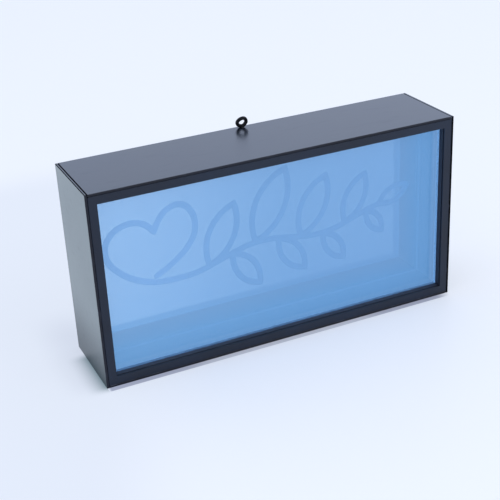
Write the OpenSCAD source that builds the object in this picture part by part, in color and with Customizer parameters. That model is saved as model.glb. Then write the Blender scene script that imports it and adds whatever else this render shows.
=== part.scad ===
// Mirror light box for a shelf or a wall: a black sheet case with a tinted one-way window in front.
// Behind it a light chamber ends in a mirror engraved with a heart and a leafy vine, lit from the back.
// X runs to the right, Y from the front to the back, Z up. The origin is the middle of the base.

/* [Case] */
// Overall width
case_w = 300; // [260:1:400]
// Overall height
case_h = 155; // [140:1:220]
// Overall depth
case_d = 70; // [62:1:90]
// Thickness of the four case sheets
sheet_t = 2; // [1.5:0.1:2.4]
// Chamfer along the sheet edges, which leaves a V groove at each seam
sheet_chamfer = 0.4; // [0.2:0.1:0.6]

/* [Front] */
// Width of the front border, sheet edge included
border_w = 8.4; // [7.6:0.1:12]
// Thickness of the bezel plate
bezel_t = 2; // [1.6:0.1:2.6]
// Undercut behind the bezel's inner edge
bezel_undercut = 1; // [0.4:0.1:1.4]
// Depth of the window face behind the bezel face
window_recess = 6.5; // [5.6:0.1:9]
// Thickness of the tinted window
window_t = 3; // [2:0.1:4]
// Thickness of the foam tape in front of the window
window_tape_t = 0.6; // [0.4:0.1:1]
// How far the tape shows inside the border
window_tape_lip = 0.4; // [0.2:0.1:0.8]

/* [Light chamber] */
// Wall thickness of the channel-shaped chamber rails
channel_t = 1.8; // [1.2:0.1:2.4]
// Thickness of the foam strip round the mirror
mirror_foam_t = 3.1; // [2:0.1:3.6]
// Thickness of the engraved mirror
mirror_t = 2; // [1.6:0.1:3]
// Thickness of the opal diffuser
diffuser_t = 2; // [1.5:0.1:3]

/* [Light lines] */
// Width of a light line
line_w = 5; // [3:0.1:6]
// Depth of the engraving
line_depth = 0.8; // [0.4:0.1:1.2]
// Number of leaves along the stem
leaf_n = 8; // [4:1:8]
// Length of the longest leaf
leaf_l = 62; // [40:1:64]
// Width of a leaf as a share of its length
leaf_share = 0.42; // [0.36:0.01:0.5]

/* [Rear frame and lamps] */
// Depth of the shelf that carries the lamp plate
shelf_d = 6; // [5:0.1:6.2]
// Width of that shelf
shelf_w = 2; // [1.5:0.1:2.4]
// Thickness of the lamp plate
lamp_plate_t = 1.5; // [1:0.1:1.6]
// Rows of lamps
lamp_rows = 4; // [2:1:5]
// Lamps in each row
lamps_per_row = 10; // [5:1:12]
// Room between the lamp plate and the battery bay, which leaves the rest of the depth to the chamber
bay_room = 1.75; // [1.4:0.05:6]

/* [Back cover] */
// Thickness of the back cover
cover_t = 3; // [2.6:0.1:3.4]
// Depth of the back cover inside the case
cover_recess = 2; // [1.8:0.1:2.2]
// Diameter of the cover screws
cover_screw_d = 2.4; // [2:0.1:3]

/* [Battery bay] */
// Centre of the bay from the middle of the case
bay_x = -62; // [-66:1:-50]
// Height of the bay's centre above the base
bay_z = 68; // [60:1:80]
// Diameter of a cell
cell_d = 14.2; // [14:0.1:14.4]
// Length of a cell without its cap
cell_l = 49.3; // [49:0.1:49.6]
// Number of cells
cell_n = 4; // [2:2:4]
// Length of a fitted contact spring
spring_l = 5.6; // [5.2:0.1:6]
// Thickness of the battery door
door_t = 1.8; // [1.6:0.1:2]
// Radius of the door's hinge barrel
barrel_r = 1.2; // [1.1:0.05:1.3]
// Radius of the door's hinge pins
hinge_pin_r = 0.8; // [0.6:0.05:0.9]

/* [Switch and inlet] */
// Centre of the control board from the middle of the case
board_x = 52; // [40:1:80]
// Height of the control board's centre above the base
board_z = 56; // [50:1:80]
// Travel of the slide switch
switch_travel = 4; // [3:0.1:4.4]

/* [Hanging eye] */
// Mean radius of the eye's ring
eye_r = 3.5; // [3:0.1:5]
// Diameter of the eye's wire
eye_wire_d = 2.8; // [2:0.1:3]

/* [Hidden] */
$fn = 48;

// Clearances
seat_gap = 0.3;      // round a loose panel in its frame
run_gap = 0.3;       // beside a moving piece
pin_gap = 0.06;      // round a hinge pin
thread_gap = 0.05;   // between a screw and its pilot hole
line_gap = 0.05;     // round a light line in its engraving
bezel_gap = 0.1;     // seam round the bezel

// Case
inner_w = case_w - 2 * sheet_t;
inner_h = case_h - 2 * sheet_t;
view_w = case_w - 2 * border_w;
view_h = case_h - 2 * border_w;
rail_t = border_w - sheet_t;
mid_z = case_h / 2;
front_y = -case_d / 2;
rear_y = case_d / 2;
over = 1;            // how far a cut runs past its face

// Depth stack: the front from the front, the rest from the back, and the chamber between them
retainer_y = front_y + bezel_t;
window_y = front_y + window_recess;
window_tape_y = window_y - window_tape_t;
chamber_y = window_y + window_t;
cover_face_y = rear_y - cover_recess;
cover_y = cover_face_y - cover_t;
cell_sink = 0.5;
trough_gap = 0.25;
bay_wall = 1.5;
cell_y = cover_face_y - door_t - cell_sink - cell_d / 2;
bay_floor_y = cell_y - cell_d / 2 - trough_gap - bay_wall;
lamp_back_y = bay_floor_y - bay_room;
lamp_plate_y = lamp_back_y - lamp_plate_t;
rear_rail_y = lamp_plate_y - shelf_d;
diffuser_y = rear_rail_y - diffuser_t;
mirror_y = diffuser_y - mirror_t;
mirror_foam_y = mirror_y - mirror_foam_t;
chamber_rail_d = mirror_foam_y - chamber_y;
rear_rail_d = cover_y - rear_rail_y;

// Bezel tongue and its groove
tongue_t = 1.2;
tongue_d = 1.5;
tongue_gap = 0.2;
tongue_inset = rail_t / 2 - tongue_t / 2;

bezel_land = 0.5;
bezel_lip = 0.3;
gusset_pitch = 46;

// Light lines, as points from the middle of a window of this size, spread with it
motif_w = 283.2;
motif_h = 138.2;
motif_k = min(view_w / motif_w, view_h / motif_h);
HEART_RIGHT = [[-91, -15], [-79, -8.5], [-66.5, 1], [-58.5, 12.5], [-57.5, 25],
               [-62.5, 35.5], [-71, 39.5], [-81, 36], [-87, 29], [-90.5, 22]];
HEART_LEFT = [[-90.5, 22], [-98, 29.5], [-109, 32.5], [-122, 28.5], [-129.5, 17], [-127, 3],
              [-114, -10.5], [-97, -19], [-81, -21.4], [-66, -21.4]];
curve_steps = 6;
stem_x0 = -66;
stem_x1 = 104;
stem_low = -21.4;
stem_wave = 118;
stem_swing = 5;
stem_rise = 0.07;
stem_steps = 34;
leaf_x0 = -48;
leaf_pitch = 20;
leaf_lean_up = 64;
leaf_lean_down = -54;
leaf_root = 1.2;
leaf_down_share = 0.66;
leaf_taper = 0.08;
leaf_longest = 2;
leaf_steps = 11;
tip_leaf_l = 28;
tip_leaf_lean = 24;

// Rear frame
boss_r = 3.4;
screw_inset = 10;
screw_column = inner_w / 2 - screw_inset;
screw_columns = [-screw_column, -50, 50, screw_column];
screw_point_r = 0.5;
screw_point_l = 0.6;
head_edge = 0.4;
head_crown = 0.5;
flat_edge = 0.2;
screw_gap = 0.3;
head_gap = 0.1;
plate_gap = 0.4;
cover_screw_l = 9;
cover_head_r = 2.4;
cover_head_h = 1.5;
ear_r = 3.6;
ear_inset = 1.6;
ear_columns = [-100, 0, 100];
plate_screw_r = 0.9;
plate_screw_l = 6;
plate_head_r = 2.1;
plate_head_h = 1.3;
cross_w = 0.7;
cross_l = 2.6;
cross_d = 0.8;
eye_block_w = 12;
eye_block_d = 8.7;
eye_block_back = 0.3;

// Lamps
strip_w = 8;
strip_t = 0.25;
strip_margin = 12;
bus_w = 7;
lamp_size = [3.5, 1.5, 2.8];
lead_hole_r = 1.2;

// Hanging eye
eye_x = -1;
eye_y = rear_y - 4.4;
eye_lift = 0.1;
eye_shank_r = 1.2;
eye_shank_l = 6;
eye_open = 24;

// Battery bay
cell_gap = 0.7;
cell_pitch = cell_d + cell_gap;
cell_cap_r = 2.7;
cell_cap_h = 1.2;
cell_bevel = 0.8;
cell_edge = 0.6;
cap_edge = 0.3;
cap_room = 0.1;
contact_t = 0.4;
bay_l = contact_t + spring_l + cell_l + cell_cap_h + cap_room + contact_t;
bay_side = 0.8;
bay_w = cell_n * cell_pitch + bay_side;
bay_flange_w = 3;
bay_flange_t = 1.5;
spring_wire_r = 0.4;
spring_base_r = 4.3;
spring_tip_r = 2.8;
spring_curls = 4;
spring_rings = 8;
spring_sides = 6;
contact_w = 11;
contact_h = 10.5;
tag_w = 3;
tag_l = 5;
tag_gap = 0.2;
tag_y = cell_y - 5;

// Battery door
ledge_w = 2.4;
ledge_top = 5;
ledge_gap = 0.2;
door_w = bay_w + 2 * ledge_w - 2 * run_gap;
hinge_y = cover_face_y - barrel_r;
hinge_z = bay_z + bay_l / 2 + ledge_top;
door_foot_z = bay_z - bay_l / 2 - ledge_w + run_gap;
door_h = hinge_z - door_foot_z;
hinge_pin_l = 2;
hinge_rib_d = 1.6;
hinge_rib_h = 5.2;
hinge_rib_side = 4;
tongue_tab_w = 10;
tongue_tab_t = 0.8;
tongue_reach = 4.4;
tongue_tab_y = cover_face_y - tongue_reach;
scoop_r = 7;
scoop_d = 1.2;
grip_n = 5;
grip_h = 0.5;
grip_pitch = 2.4;
grip_start = 2;
grip_bar = 1;
grip_w = 20;

// Control board
board_w = 54;
board_h = 24;
board_t = 1.6;
post_l = 6;
post_r = 2.6;
post_x = 23;
post_z = 8.6;
board_y = cover_y - post_l - board_t;
board_screw_r = 0.9;
board_screw_l = 6;
board_head_r = 2;
board_head_h = 1.3;
can_capacitor = [14, -3, 3.15, 5.4];
chip = [6, 1.6, 5];
chip_x = -6;
resistor = [2, 0.6, 1.2];
resistor_x = -14;
resistor_z = -8.5;
resistor_pitch = 7;

// Slide switch
switch_x = board_x - 10;
can_w = 12.8;
can_h = 6.6;
can_d = 4.6;
can_wall = 0.5;
stem_s = 2.6;
skirt_h = 7.4;
skirt_t = 0.8;
skirt_gap = 0.2;
cap_w = 7;
cap_h = 4.4;
cap_out = 1;
cap_ribs = 4;
cap_rib_t = 0.6;
cap_rib_h = 0.4;
slot_w = cap_w + switch_travel + 2 * run_gap;
slot_h = cap_h + 2 * run_gap;
skirt_w = slot_w + switch_travel + 1;
well_margin = 2.4;
well_d = 1;

// USB inlet
usb_x = board_x + 11;
usb_w = 8.94;
usb_h = 3.26;
usb_wall = 0.3;
usb_l = 7;
usb_tongue_w = 6.7;
usb_tongue_t = 0.7;
usb_gap = 0.25;
usb_well_w = 13;
usb_well_h = 7.4;
usb_well_d = 1.6;

// Leads, as routes chosen by hand
lead_r = 0.65;
lead_sides = 8;
lead_steps = 4;
lead_gap = 0.1;
lamp_pad_z = 7;
red_tag_x = bay_x - (cell_n - 1) / 2 * cell_pitch;
black_tag_x = bay_x + (cell_n - 1) / 2 * cell_pitch;
tag_top_z = bay_z + bay_l / 2 + tag_l - contact_t;
lamp_hole_x = board_x + 4;
strip_pitch = view_h / lamp_rows;
lamp_strip_z = mid_z - strip_pitch / 2;
lamp_lead_z = [lamp_strip_z + 2, lamp_strip_z - 2];
RED_BATTERY = [
    [red_tag_x, tag_y, tag_top_z], [red_tag_x, tag_y, tag_top_z + 4],
    [red_tag_x + 6, tag_y, tag_top_z + 12], [bay_x, tag_y, tag_top_z + 15],
    [bay_x + 30, tag_y, tag_top_z + 15], [board_x - 44, tag_y, board_z + 34],
    [board_x - 30, tag_y - 1, board_z + 12], [board_x - 24, tag_y - 1, board_z + 3],
    [board_x - 20.5, board_y - 3, board_z + 2], [board_x - 20, board_y - lead_gap, board_z + 2]
];
BLACK_BATTERY = [
    [black_tag_x, tag_y, tag_top_z], [black_tag_x, tag_y, tag_top_z + 3],
    [black_tag_x + 5, tag_y, tag_top_z + 8], [black_tag_x + 14, tag_y, tag_top_z + 6],
    [board_x - 50, tag_y, board_z + 26], [board_x - 38, tag_y - 1, board_z + 8],
    [board_x - 26, tag_y - 1, board_z - 3], [board_x - 20.5, board_y - 3, board_z - 2],
    [board_x - 20, board_y - lead_gap, board_z - 2]
];

// A flat shape drawn in x and z, made t thick from y0 towards the back
module upright(y0, t) {
    translate([0, y0 + t, 0]) rotate([90, 0, 0]) linear_extrude(t) children();
}

// A rectangular ring round the middle of the window
module ring_outline(outer_w, outer_h, hole_w, hole_h) {
    translate([0, mid_z]) difference() {
        square([outer_w, outer_h], center = true);
        square([hole_w, hole_h], center = true);
    }
}

// A full pane that sits loose inside the sheets
module pane(y0, t) {
    upright(y0, t) translate([0, mid_z])
        square([inner_w - 2 * seat_gap, inner_h - 2 * seat_gap], center = true);
}

module chamfered_outline(w, h, c) {
    polygon([[c - w / 2, -h / 2], [w / 2 - c, -h / 2], [w / 2, c - h / 2], [w / 2, h / 2 - c],
             [w / 2 - c, h / 2], [c - w / 2, h / 2], [-w / 2, h / 2 - c], [-w / 2, c - h / 2]]);
}

// A block round its own centre with a chamfer along every edge
module chamfered_box(size, c) {
    intersection() {
        linear_extrude(size[2], center = true) chamfered_outline(size[0], size[1], c);
        rotate([90, 0, 0]) linear_extrude(size[1], center = true)
            chamfered_outline(size[0], size[2], c);
        rotate([90, 0, 90]) linear_extrude(size[0], center = true)
            chamfered_outline(size[1], size[2], c);
    }
}

// A round bar or hole along y, from y0 towards the back
module bar(x, z, r, y0, l) {
    translate([x, y0 + l, z]) rotate([90, 0, 0]) cylinder(r = r, h = l);
}

// Case sheets

module end_panel(side) {
    color("#26282c") translate([side * (case_w - sheet_t) / 2, 0, mid_z])
        chamfered_box([sheet_t, case_d, case_h], sheet_chamfer);
}

module left_end_panel() {
    end_panel(-1);
}

module right_end_panel() {
    end_panel(1);
}

module top_panel() {
    color("#2b2d32") difference() {
        translate([0, 0, case_h - sheet_t / 2])
            chamfered_box([inner_w, case_d, sheet_t], sheet_chamfer);
        translate([eye_x, eye_y, case_h - sheet_t - over])
            cylinder(r = eye_shank_r + thread_gap, h = sheet_t + 2 * over);
    }
}

module bottom_panel() {
    color("#2b2d32") translate([0, 0, sheet_t / 2])
        chamfered_box([inner_w, case_d, sheet_t], sheet_chamfer);
}

// Front

// Wedge that opens the back of the bezel's inner edge, along one side of the window
module undercut_wedge(length) {
    depth = bezel_t - bezel_land;
    rotate([90, 0, 90]) linear_extrude(length + 2 * bezel_undercut, center = true)
        polygon([[bezel_t - depth, 0], [bezel_t + over, 0], [bezel_t + over, bezel_undercut],
                 [bezel_t - bezel_lip, bezel_undercut]]);
}

module front_bezel() {
    color("#1d1f23") difference() {
        union() {
            translate([0, front_y + bezel_t / 2, mid_z])
                chamfered_box([inner_w - 2 * bezel_gap, bezel_t, inner_h - 2 * bezel_gap],
                              sheet_chamfer / 2);
            upright(retainer_y, tongue_d)
                ring_outline(inner_w - 2 * tongue_inset, inner_h - 2 * tongue_inset,
                             inner_w - 2 * tongue_inset - 2 * tongue_t,
                             inner_h - 2 * tongue_inset - 2 * tongue_t);
        }
        upright(front_y - over, bezel_t + 2 * over) translate([0, mid_z])
            square([view_w, view_h], center = true);
        for (side = [-1, 1]) {
            translate([0, front_y, mid_z]) {
                rotate([0, 90 - 90 * side, 0]) translate([0, 0, view_h / 2]) undercut_wedge(view_w);
                rotate([0, 90 * side, 0]) translate([0, 0, view_w / 2]) undercut_wedge(view_h);
            }
        }
    }
}

module window_retainer() {
    color("#34373c") difference() {
        upright(retainer_y, window_tape_y - retainer_y)
            ring_outline(inner_w, inner_h, view_w, view_h);
        upright(retainer_y - over, tongue_d + tongue_gap + over)
            ring_outline(inner_w - 2 * (tongue_inset - tongue_gap),
                         inner_h - 2 * (tongue_inset - tongue_gap),
                         inner_w - 2 * (tongue_inset + tongue_t + tongue_gap),
                         inner_h - 2 * (tongue_inset + tongue_t + tongue_gap));
    }
}

module window_tape() {
    color("#15181f") upright(window_tape_y, window_tape_t)
        ring_outline(inner_w - 2 * seat_gap, inner_h - 2 * seat_gap,
                     view_w - 2 * window_tape_lip, view_h - 2 * window_tape_lip);
}

module one_way_window() {
    color("#6fb2ea", 0.55) pane(window_y, window_t);
}

// Light chamber

// A channel that opens outward, mitred at both ends: x along it, z from the sheet to the chamber
module chamber_rail(length) {
    gussets = floor(length / gusset_pitch);
    color("#e6e9ee") intersection() {
        upright(0, chamber_rail_d)
            polygon([[-length / 2, 0], [length / 2, 0],
                     [length / 2 - rail_t, rail_t], [rail_t - length / 2, rail_t]]);
        union() {
            translate([0, chamber_rail_d / 2, rail_t - channel_t / 2])
                cube([length, chamber_rail_d, channel_t], center = true);
            for (y = [0, chamber_rail_d - channel_t])
                translate([-length / 2, y, 0]) cube([length, channel_t, rail_t]);
            for (i = [1:gussets])
                translate([-length / 2 + i * length / (gussets + 1) - channel_t / 2, 0, 0])
                    cube([channel_t, chamber_rail_d, rail_t]);
        }
    }
}

module chamber_top_rail() {
    translate([0, chamber_y, case_h - sheet_t]) mirror([0, 0, 1]) chamber_rail(inner_w);
}

module chamber_bottom_rail() {
    translate([0, chamber_y, sheet_t]) chamber_rail(inner_w);
}

module chamber_left_rail() {
    translate([-inner_w / 2, chamber_y, mid_z]) rotate([0, 90, 0]) chamber_rail(inner_h);
}

module chamber_right_rail() {
    translate([inner_w / 2, chamber_y, mid_z]) rotate([0, -90, 0]) chamber_rail(inner_h);
}

module mirror_foam() {
    color("#f2f4f6") upright(mirror_foam_y, mirror_foam_t)
        ring_outline(inner_w - 2 * seat_gap, inner_h - 2 * seat_gap, view_w, view_h);
}

// Light lines: smooth curves through a few points, drawn out to an even width

function curve_point(a, b, c, d, t) =
    0.5 * (2 * b + (c - a) * t + (2 * a - 5 * b + 4 * c - d) * t * t
           + (3 * b - a - 3 * c + d) * t * t * t);
function curve(p, steps) = concat(
    [for (i = [0:len(p) - 2]) for (k = [0:steps - 1])
        curve_point(p[max(i - 1, 0)], p[i], p[i + 1], p[min(i + 2, len(p) - 1)], k / steps)],
    [p[len(p) - 1]]);
function along(p, i) =
    let (d = p[min(i + 1, len(p) - 1)] - p[max(i - 1, 0)]) d / norm(d);
function across(p, i) = let (d = along(p, i)) [-d[1], d[0]];
function cap_arc(centre, d, r) =
    [for (k = [1:5]) let (a = 90 - 30 * k) centre + r * (cos(a) * d + sin(a) * [-d[1], d[0]])];

// An even stroke along a path, with a round end where asked
module stroke(path, w, round_start = true, round_end = true) {
    last = len(path) - 1;
    left = [for (i = [0:last]) path[i] + across(path, i) * w / 2];
    right = [for (i = [last:-1:0]) path[i] - across(path, i) * w / 2];
    end_arc = round_end ? cap_arc(path[last], along(path, last), w / 2) : [];
    start_arc = round_start ? cap_arc(path[0], -along(path, 0), w / 2) : [];
    polygon(concat(left, end_arc, right, start_arc));
}

// Two arcs of radius r that bulge apart and meet on the x axis, their centres drop away from it
function lens(mid_x, r, drop) = let (half = acos(drop / r)) concat(
    [for (k = [0:leaf_steps]) let (a = 90 + half - 2 * half * k / leaf_steps)
        [mid_x + r * cos(a), r * sin(a) - drop]],
    [for (k = [1:leaf_steps - 1]) let (a = 90 - half + 2 * half * k / leaf_steps)
        [mid_x + r * cos(a), drop - r * sin(a)]]);

// A leaf's outline as an even line round a lens, from the origin along x
module leaf_outline(l, w) {
    rise = l * leaf_share / 2;
    r = (l * l / 4 + rise * rise) / (2 * rise);
    n = 2 * leaf_steps;
    polygon(concat(lens(l / 2, r + w / 2, r - rise), lens(l / 2, r - w / 2, r - rise)),
            [[for (i = [0:n - 1]) i], [for (i = [n:2 * n - 1]) i]]);
}

function stem_z(x) = stem_low + stem_swing * (1 - cos(360 * (x - stem_x0) / stem_wave))
    + stem_rise * (x - stem_x0);
function stem_path(gap) = [for (k = [0:stem_steps])
    let (x = stem_x0 + gap + (stem_x1 - stem_x0 - gap) * k / stem_steps) motif_k * [x, stem_z(x)]];

module heart_shape(w) {
    stroke(curve(motif_k * HEART_RIGHT, curve_steps), w);
    stroke(curve(motif_k * HEART_LEFT, curve_steps), w, true, false);
}

// A leaf that grows from the stem at x
module leaf(x, lean, l, w) {
    translate(motif_k * [x, stem_z(x)]) rotate(lean) translate([leaf_root, 0])
        leaf_outline(motif_k * l, w);
}

module vine_shape(w, gap) {
    stroke(stem_path(gap), w, false, true);
    for (i = [0:leaf_n - 1]) {
        up = i % 2 == 0;
        l = leaf_l * (1 - leaf_taper * abs(i - leaf_longest)) * (up ? 1 : leaf_down_share);
        leaf(leaf_x0 + i * leaf_pitch, up ? leaf_lean_up : leaf_lean_down, l, w);
    }
    leaf(stem_x1, tip_leaf_lean, tip_leaf_l, w);
}

module mirror_panel() {
    color("#b9c6d2") difference() {
        pane(mirror_y, mirror_t);
        upright(mirror_y - over, line_depth + over) translate([0, mid_z]) {
            heart_shape(line_w + 2 * line_gap);
            vine_shape(line_w + 2 * line_gap, -line_gap);
        }
    }
}

module heart_light_line() {
    color("#dfe7ef") upright(mirror_y, line_depth) translate([0, mid_z]) heart_shape(line_w);
}

module vine_light_line() {
    color("#dfe7ef") upright(mirror_y, line_depth) translate([0, mid_z])
        vine_shape(line_w, 4 * line_gap);
}

module light_diffuser() {
    color("#f4f5f2") pane(diffuser_y, diffuser_t);
}

// Rear frame

module rear_rail(length) {
    translate([-length / 2, 0, 0]) cube([length, shelf_d, rail_t]);
    translate([-length / 2, 0, 0]) cube([length, rear_rail_d, rail_t - shelf_w]);
}

// Screw bosses and lamp plate ears on a long rail: x along it, z from the sheet inward
module long_rail() {
    boss_y = lamp_back_y - rear_rail_y + seat_gap;
    pilot_r = cover_screw_d / 2 + thread_gap;
    ear_z = rail_t + ear_inset;
    difference() {
        union() {
            rear_rail(inner_w);
            for (x = screw_columns) bar(x, boss_r, boss_r, boss_y, rear_rail_d - boss_y);
            for (x = ear_columns) bar(x, ear_z, ear_r, 0, shelf_d);
        }
        for (x = screw_columns)
            bar(x, boss_r, pilot_r, rear_rail_d - cover_screw_l, cover_screw_l + over);
        for (x = ear_columns)
            bar(x, ear_z, plate_screw_r + thread_gap, shelf_d - plate_screw_l + 1, plate_screw_l);
    }
}

module rear_top_rail() {
    block_y = rear_y - eye_block_back - eye_block_d;
    color("#1f2125") difference() {
        union() {
            translate([0, rear_rail_y, case_h - sheet_t]) mirror([0, 0, 1]) long_rail();
            translate([eye_x - eye_block_w / 2, block_y, case_h - sheet_t - rail_t])
                cube([eye_block_w, eye_block_d, rail_t]);
        }
        translate([eye_x, eye_y, case_h - eye_shank_l - over])
            cylinder(r = eye_shank_r + thread_gap, h = eye_shank_l + 2 * over);
    }
}

module rear_bottom_rail() {
    color("#1f2125") translate([0, rear_rail_y, sheet_t]) long_rail();
}

module rear_left_rail() {
    color("#1f2125") translate([-inner_w / 2, rear_rail_y, mid_z]) rotate([0, 90, 0])
        rear_rail(inner_h - 2 * rail_t);
}

module rear_right_rail() {
    color("#1f2125") translate([inner_w / 2, rear_rail_y, mid_z]) rotate([0, -90, 0])
        rear_rail(inner_h - 2 * rail_t);
}

// Lamps

module lamp_plate() {
    plate_w = view_w + 2 * (shelf_w - seat_gap);
    plate_h = view_h + 2 * (shelf_w - seat_gap);
    color("#eceef0") difference() {
        upright(lamp_plate_y, lamp_plate_t) translate([0, mid_z])
            square([plate_w, plate_h], center = true);
        for (x = ear_columns, side = [-1, 1])
            bar(x, mid_z + side * (view_h / 2 - ear_inset), plate_screw_r + plate_gap,
                lamp_plate_y - over, lamp_plate_t + 2 * over);
        for (z = lamp_lead_z)
            bar(lamp_hole_x, z, lead_hole_r, lamp_plate_y - over, lamp_plate_t + 2 * over);
    }
}

// A cross-headed screw along y: its head's outer face at the origin, its tip towards -y
module pan_screw(r, l, head_r, head_h) {
    difference() {
        rotate([90, 0, 0]) rotate_extrude()
            polygon([[0, 0], [head_r - head_edge, 0], [head_r, head_crown], [head_r, head_h],
                     [r, head_h], [r, head_h + l - screw_point_l], [r - screw_point_r, head_h + l],
                     [0, head_h + l]]);
        cross_recess();
    }
}

module flat_screw(r, l, head_r, head_h) {
    difference() {
        rotate([90, 0, 0]) rotate_extrude()
            polygon([[0, 0], [head_r, 0], [head_r, flat_edge], [r, head_h], [r, l - screw_point_l],
                     [r - screw_point_r, l], [0, l]]);
        cross_recess();
    }
}

module cross_recess() {
    for (a = [0, 90])
        rotate([0, a, 0]) translate([-cross_l / 2, -cross_d, -cross_w / 2])
            cube([cross_l, cross_d + over, cross_w]);
}

module lamp_plate_screws() {
    color("#b8bcc2") for (x = ear_columns, side = [-1, 1])
        translate([x, lamp_back_y + plate_head_h, mid_z + side * (view_h / 2 - ear_inset)])
            pan_screw(plate_screw_r, plate_screw_l, plate_head_r, plate_head_h);
}

function row_z(i) = mid_z - view_h / 2 + (i + 0.5) * view_h / lamp_rows;

module lamp_strip() {
    row_w = view_w - 2 * strip_margin;
    color("#f5f6f1") upright(lamp_plate_y - strip_t, strip_t) {
        for (i = [0:lamp_rows - 1])
            translate([0, row_z(i)]) square([row_w, strip_w], center = true);
        translate([-row_w / 2, row_z(0)])
            square([bus_w, row_z(lamp_rows - 1) - row_z(0)]);
    }
}

module lamps() {
    step = (view_w - 2 * strip_margin - 2 * bus_w) / lamps_per_row;
    color("#f6e7a2") for (i = [0:lamp_rows - 1], k = [0:lamps_per_row - 1])
        translate([(k - (lamps_per_row - 1) / 2) * step,
                   lamp_plate_y - strip_t - lamp_size[1] / 2, row_z(i)])
            cube(lamp_size, center = true);
}

// Hanging eye: a ring of wire, open beside its shank

module hanging_eye() {
    wire_r = eye_wire_d / 2;
    ring_z = case_h + eye_lift + eye_r + wire_r;
    color("#141519") {
        translate([eye_x, eye_y, ring_z]) rotate([90, 0, 0]) rotate([0, 0, eye_open - 90])
            rotate_extrude(angle = 360 - eye_open) translate([eye_r, 0]) circle(r = wire_r);
        translate([eye_x, eye_y, case_h - eye_shank_l])
            cylinder(r = eye_shank_r, h = eye_shank_l + eye_lift + wire_r);
    }
}

// Back cover

module door_recess() {
    floor_y = cover_face_y - door_t - ledge_gap;
    translate([bay_x - door_w / 2 - run_gap, floor_y, door_foot_z - run_gap])
        cube([door_w + 2 * run_gap, door_t + ledge_gap + over, door_h + run_gap]);
    translate([bay_x - door_w / 2 - run_gap, hinge_y, hinge_z]) rotate([0, 90, 0])
        cylinder(r = barrel_r + run_gap, h = door_w + 2 * run_gap);
    translate([bay_x - door_w / 2 - run_gap, hinge_y, hinge_z - over])
        cube([door_w + 2 * run_gap, barrel_r + over, barrel_r + run_gap + over]);
}

module rounded_outline(w, h) {
    square([w - h, h], center = true);
    for (side = [-1, 1]) translate([side * (w - h) / 2, 0]) circle(d = h);
}

module back_cover() {
    notch_w = eye_block_w + 2 * run_gap;
    notch_h = rail_t + run_gap;
    color("#202226") difference() {
        union() {
            pane(cover_y, cover_t);
            translate([bay_x - door_w / 2 - hinge_rib_side, cover_y - hinge_rib_d,
                       hinge_z - hinge_rib_h / 2])
                cube([door_w + 2 * hinge_rib_side, hinge_rib_d + over, hinge_rib_h]);
            for (sx = [-1, 1], sz = [-1, 1])
                bar(board_x + sx * post_x, board_z + sz * post_z, post_r, cover_y - post_l,
                    post_l + over);
        }
        upright(cover_y - over, cover_t + 2 * over) translate([bay_x, bay_z])
            square([bay_w, bay_l], center = true);
        door_recess();
        for (side = [-1, 1])
            translate([bay_x + side * (door_w / 2 + hinge_pin_l / 2 + run_gap), hinge_y, hinge_z])
                rotate([0, 90, 0])
                    cylinder(r = hinge_pin_r + pin_gap, h = hinge_pin_l + 2 * run_gap,
                             center = true);
        bar(bay_x, door_foot_z, scoop_r, cover_face_y - scoop_d, scoop_d + over);
        translate([eye_x - notch_w / 2, cover_y - over, case_h - sheet_t - notch_h])
            cube([notch_w, cover_t + 2 * over, notch_h + over]);
        for (x = screw_columns, z = [sheet_t + boss_r, case_h - sheet_t - boss_r])
            translate([x, cover_face_y, z]) {
                bar(0, 0, cover_screw_d / 2 + screw_gap, -cover_t - over, cover_t + 2 * over);
                bar(0, 0, cover_head_r + head_gap, -flat_edge, flat_edge + over);
                translate([0, -flat_edge, 0]) rotate([90, 0, 0])
                    cylinder(r1 = cover_head_r + head_gap, r2 = cover_screw_d / 2 + head_gap,
                             h = cover_head_h - flat_edge);
            }
        upright(cover_y - over, cover_t + 2 * over) {
            translate([switch_x, board_z]) square([slot_w, slot_h], center = true);
            translate([usb_x, board_z])
                rounded_outline(usb_w + 2 * usb_gap, usb_h + 2 * usb_gap);
        }
        upright(cover_face_y - well_d, well_d + over) translate([switch_x, board_z])
            square([slot_w + 2 * well_margin, slot_h + 2 * well_margin], center = true);
        upright(cover_face_y - usb_well_d, usb_well_d + over) translate([usb_x, board_z])
            rounded_outline(usb_well_w, usb_well_h);
        for (sx = [-1, 1], sz = [-1, 1])
            bar(board_x + sx * post_x, board_z + sz * post_z, board_screw_r + thread_gap,
                cover_y - post_l - over, board_screw_l + over - board_t + 1);
    }
}

module cover_screws() {
    color("#2f3237") for (x = screw_columns, z = [sheet_t + boss_r, case_h - sheet_t - boss_r])
        translate([x, cover_face_y, z])
            flat_screw(cover_screw_d / 2, cover_t + cover_screw_l - 1, cover_head_r, cover_head_h);
}

// Battery bay

function cell_x(i) = bay_x + (i - (cell_n - 1) / 2) * cell_pitch;

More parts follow.
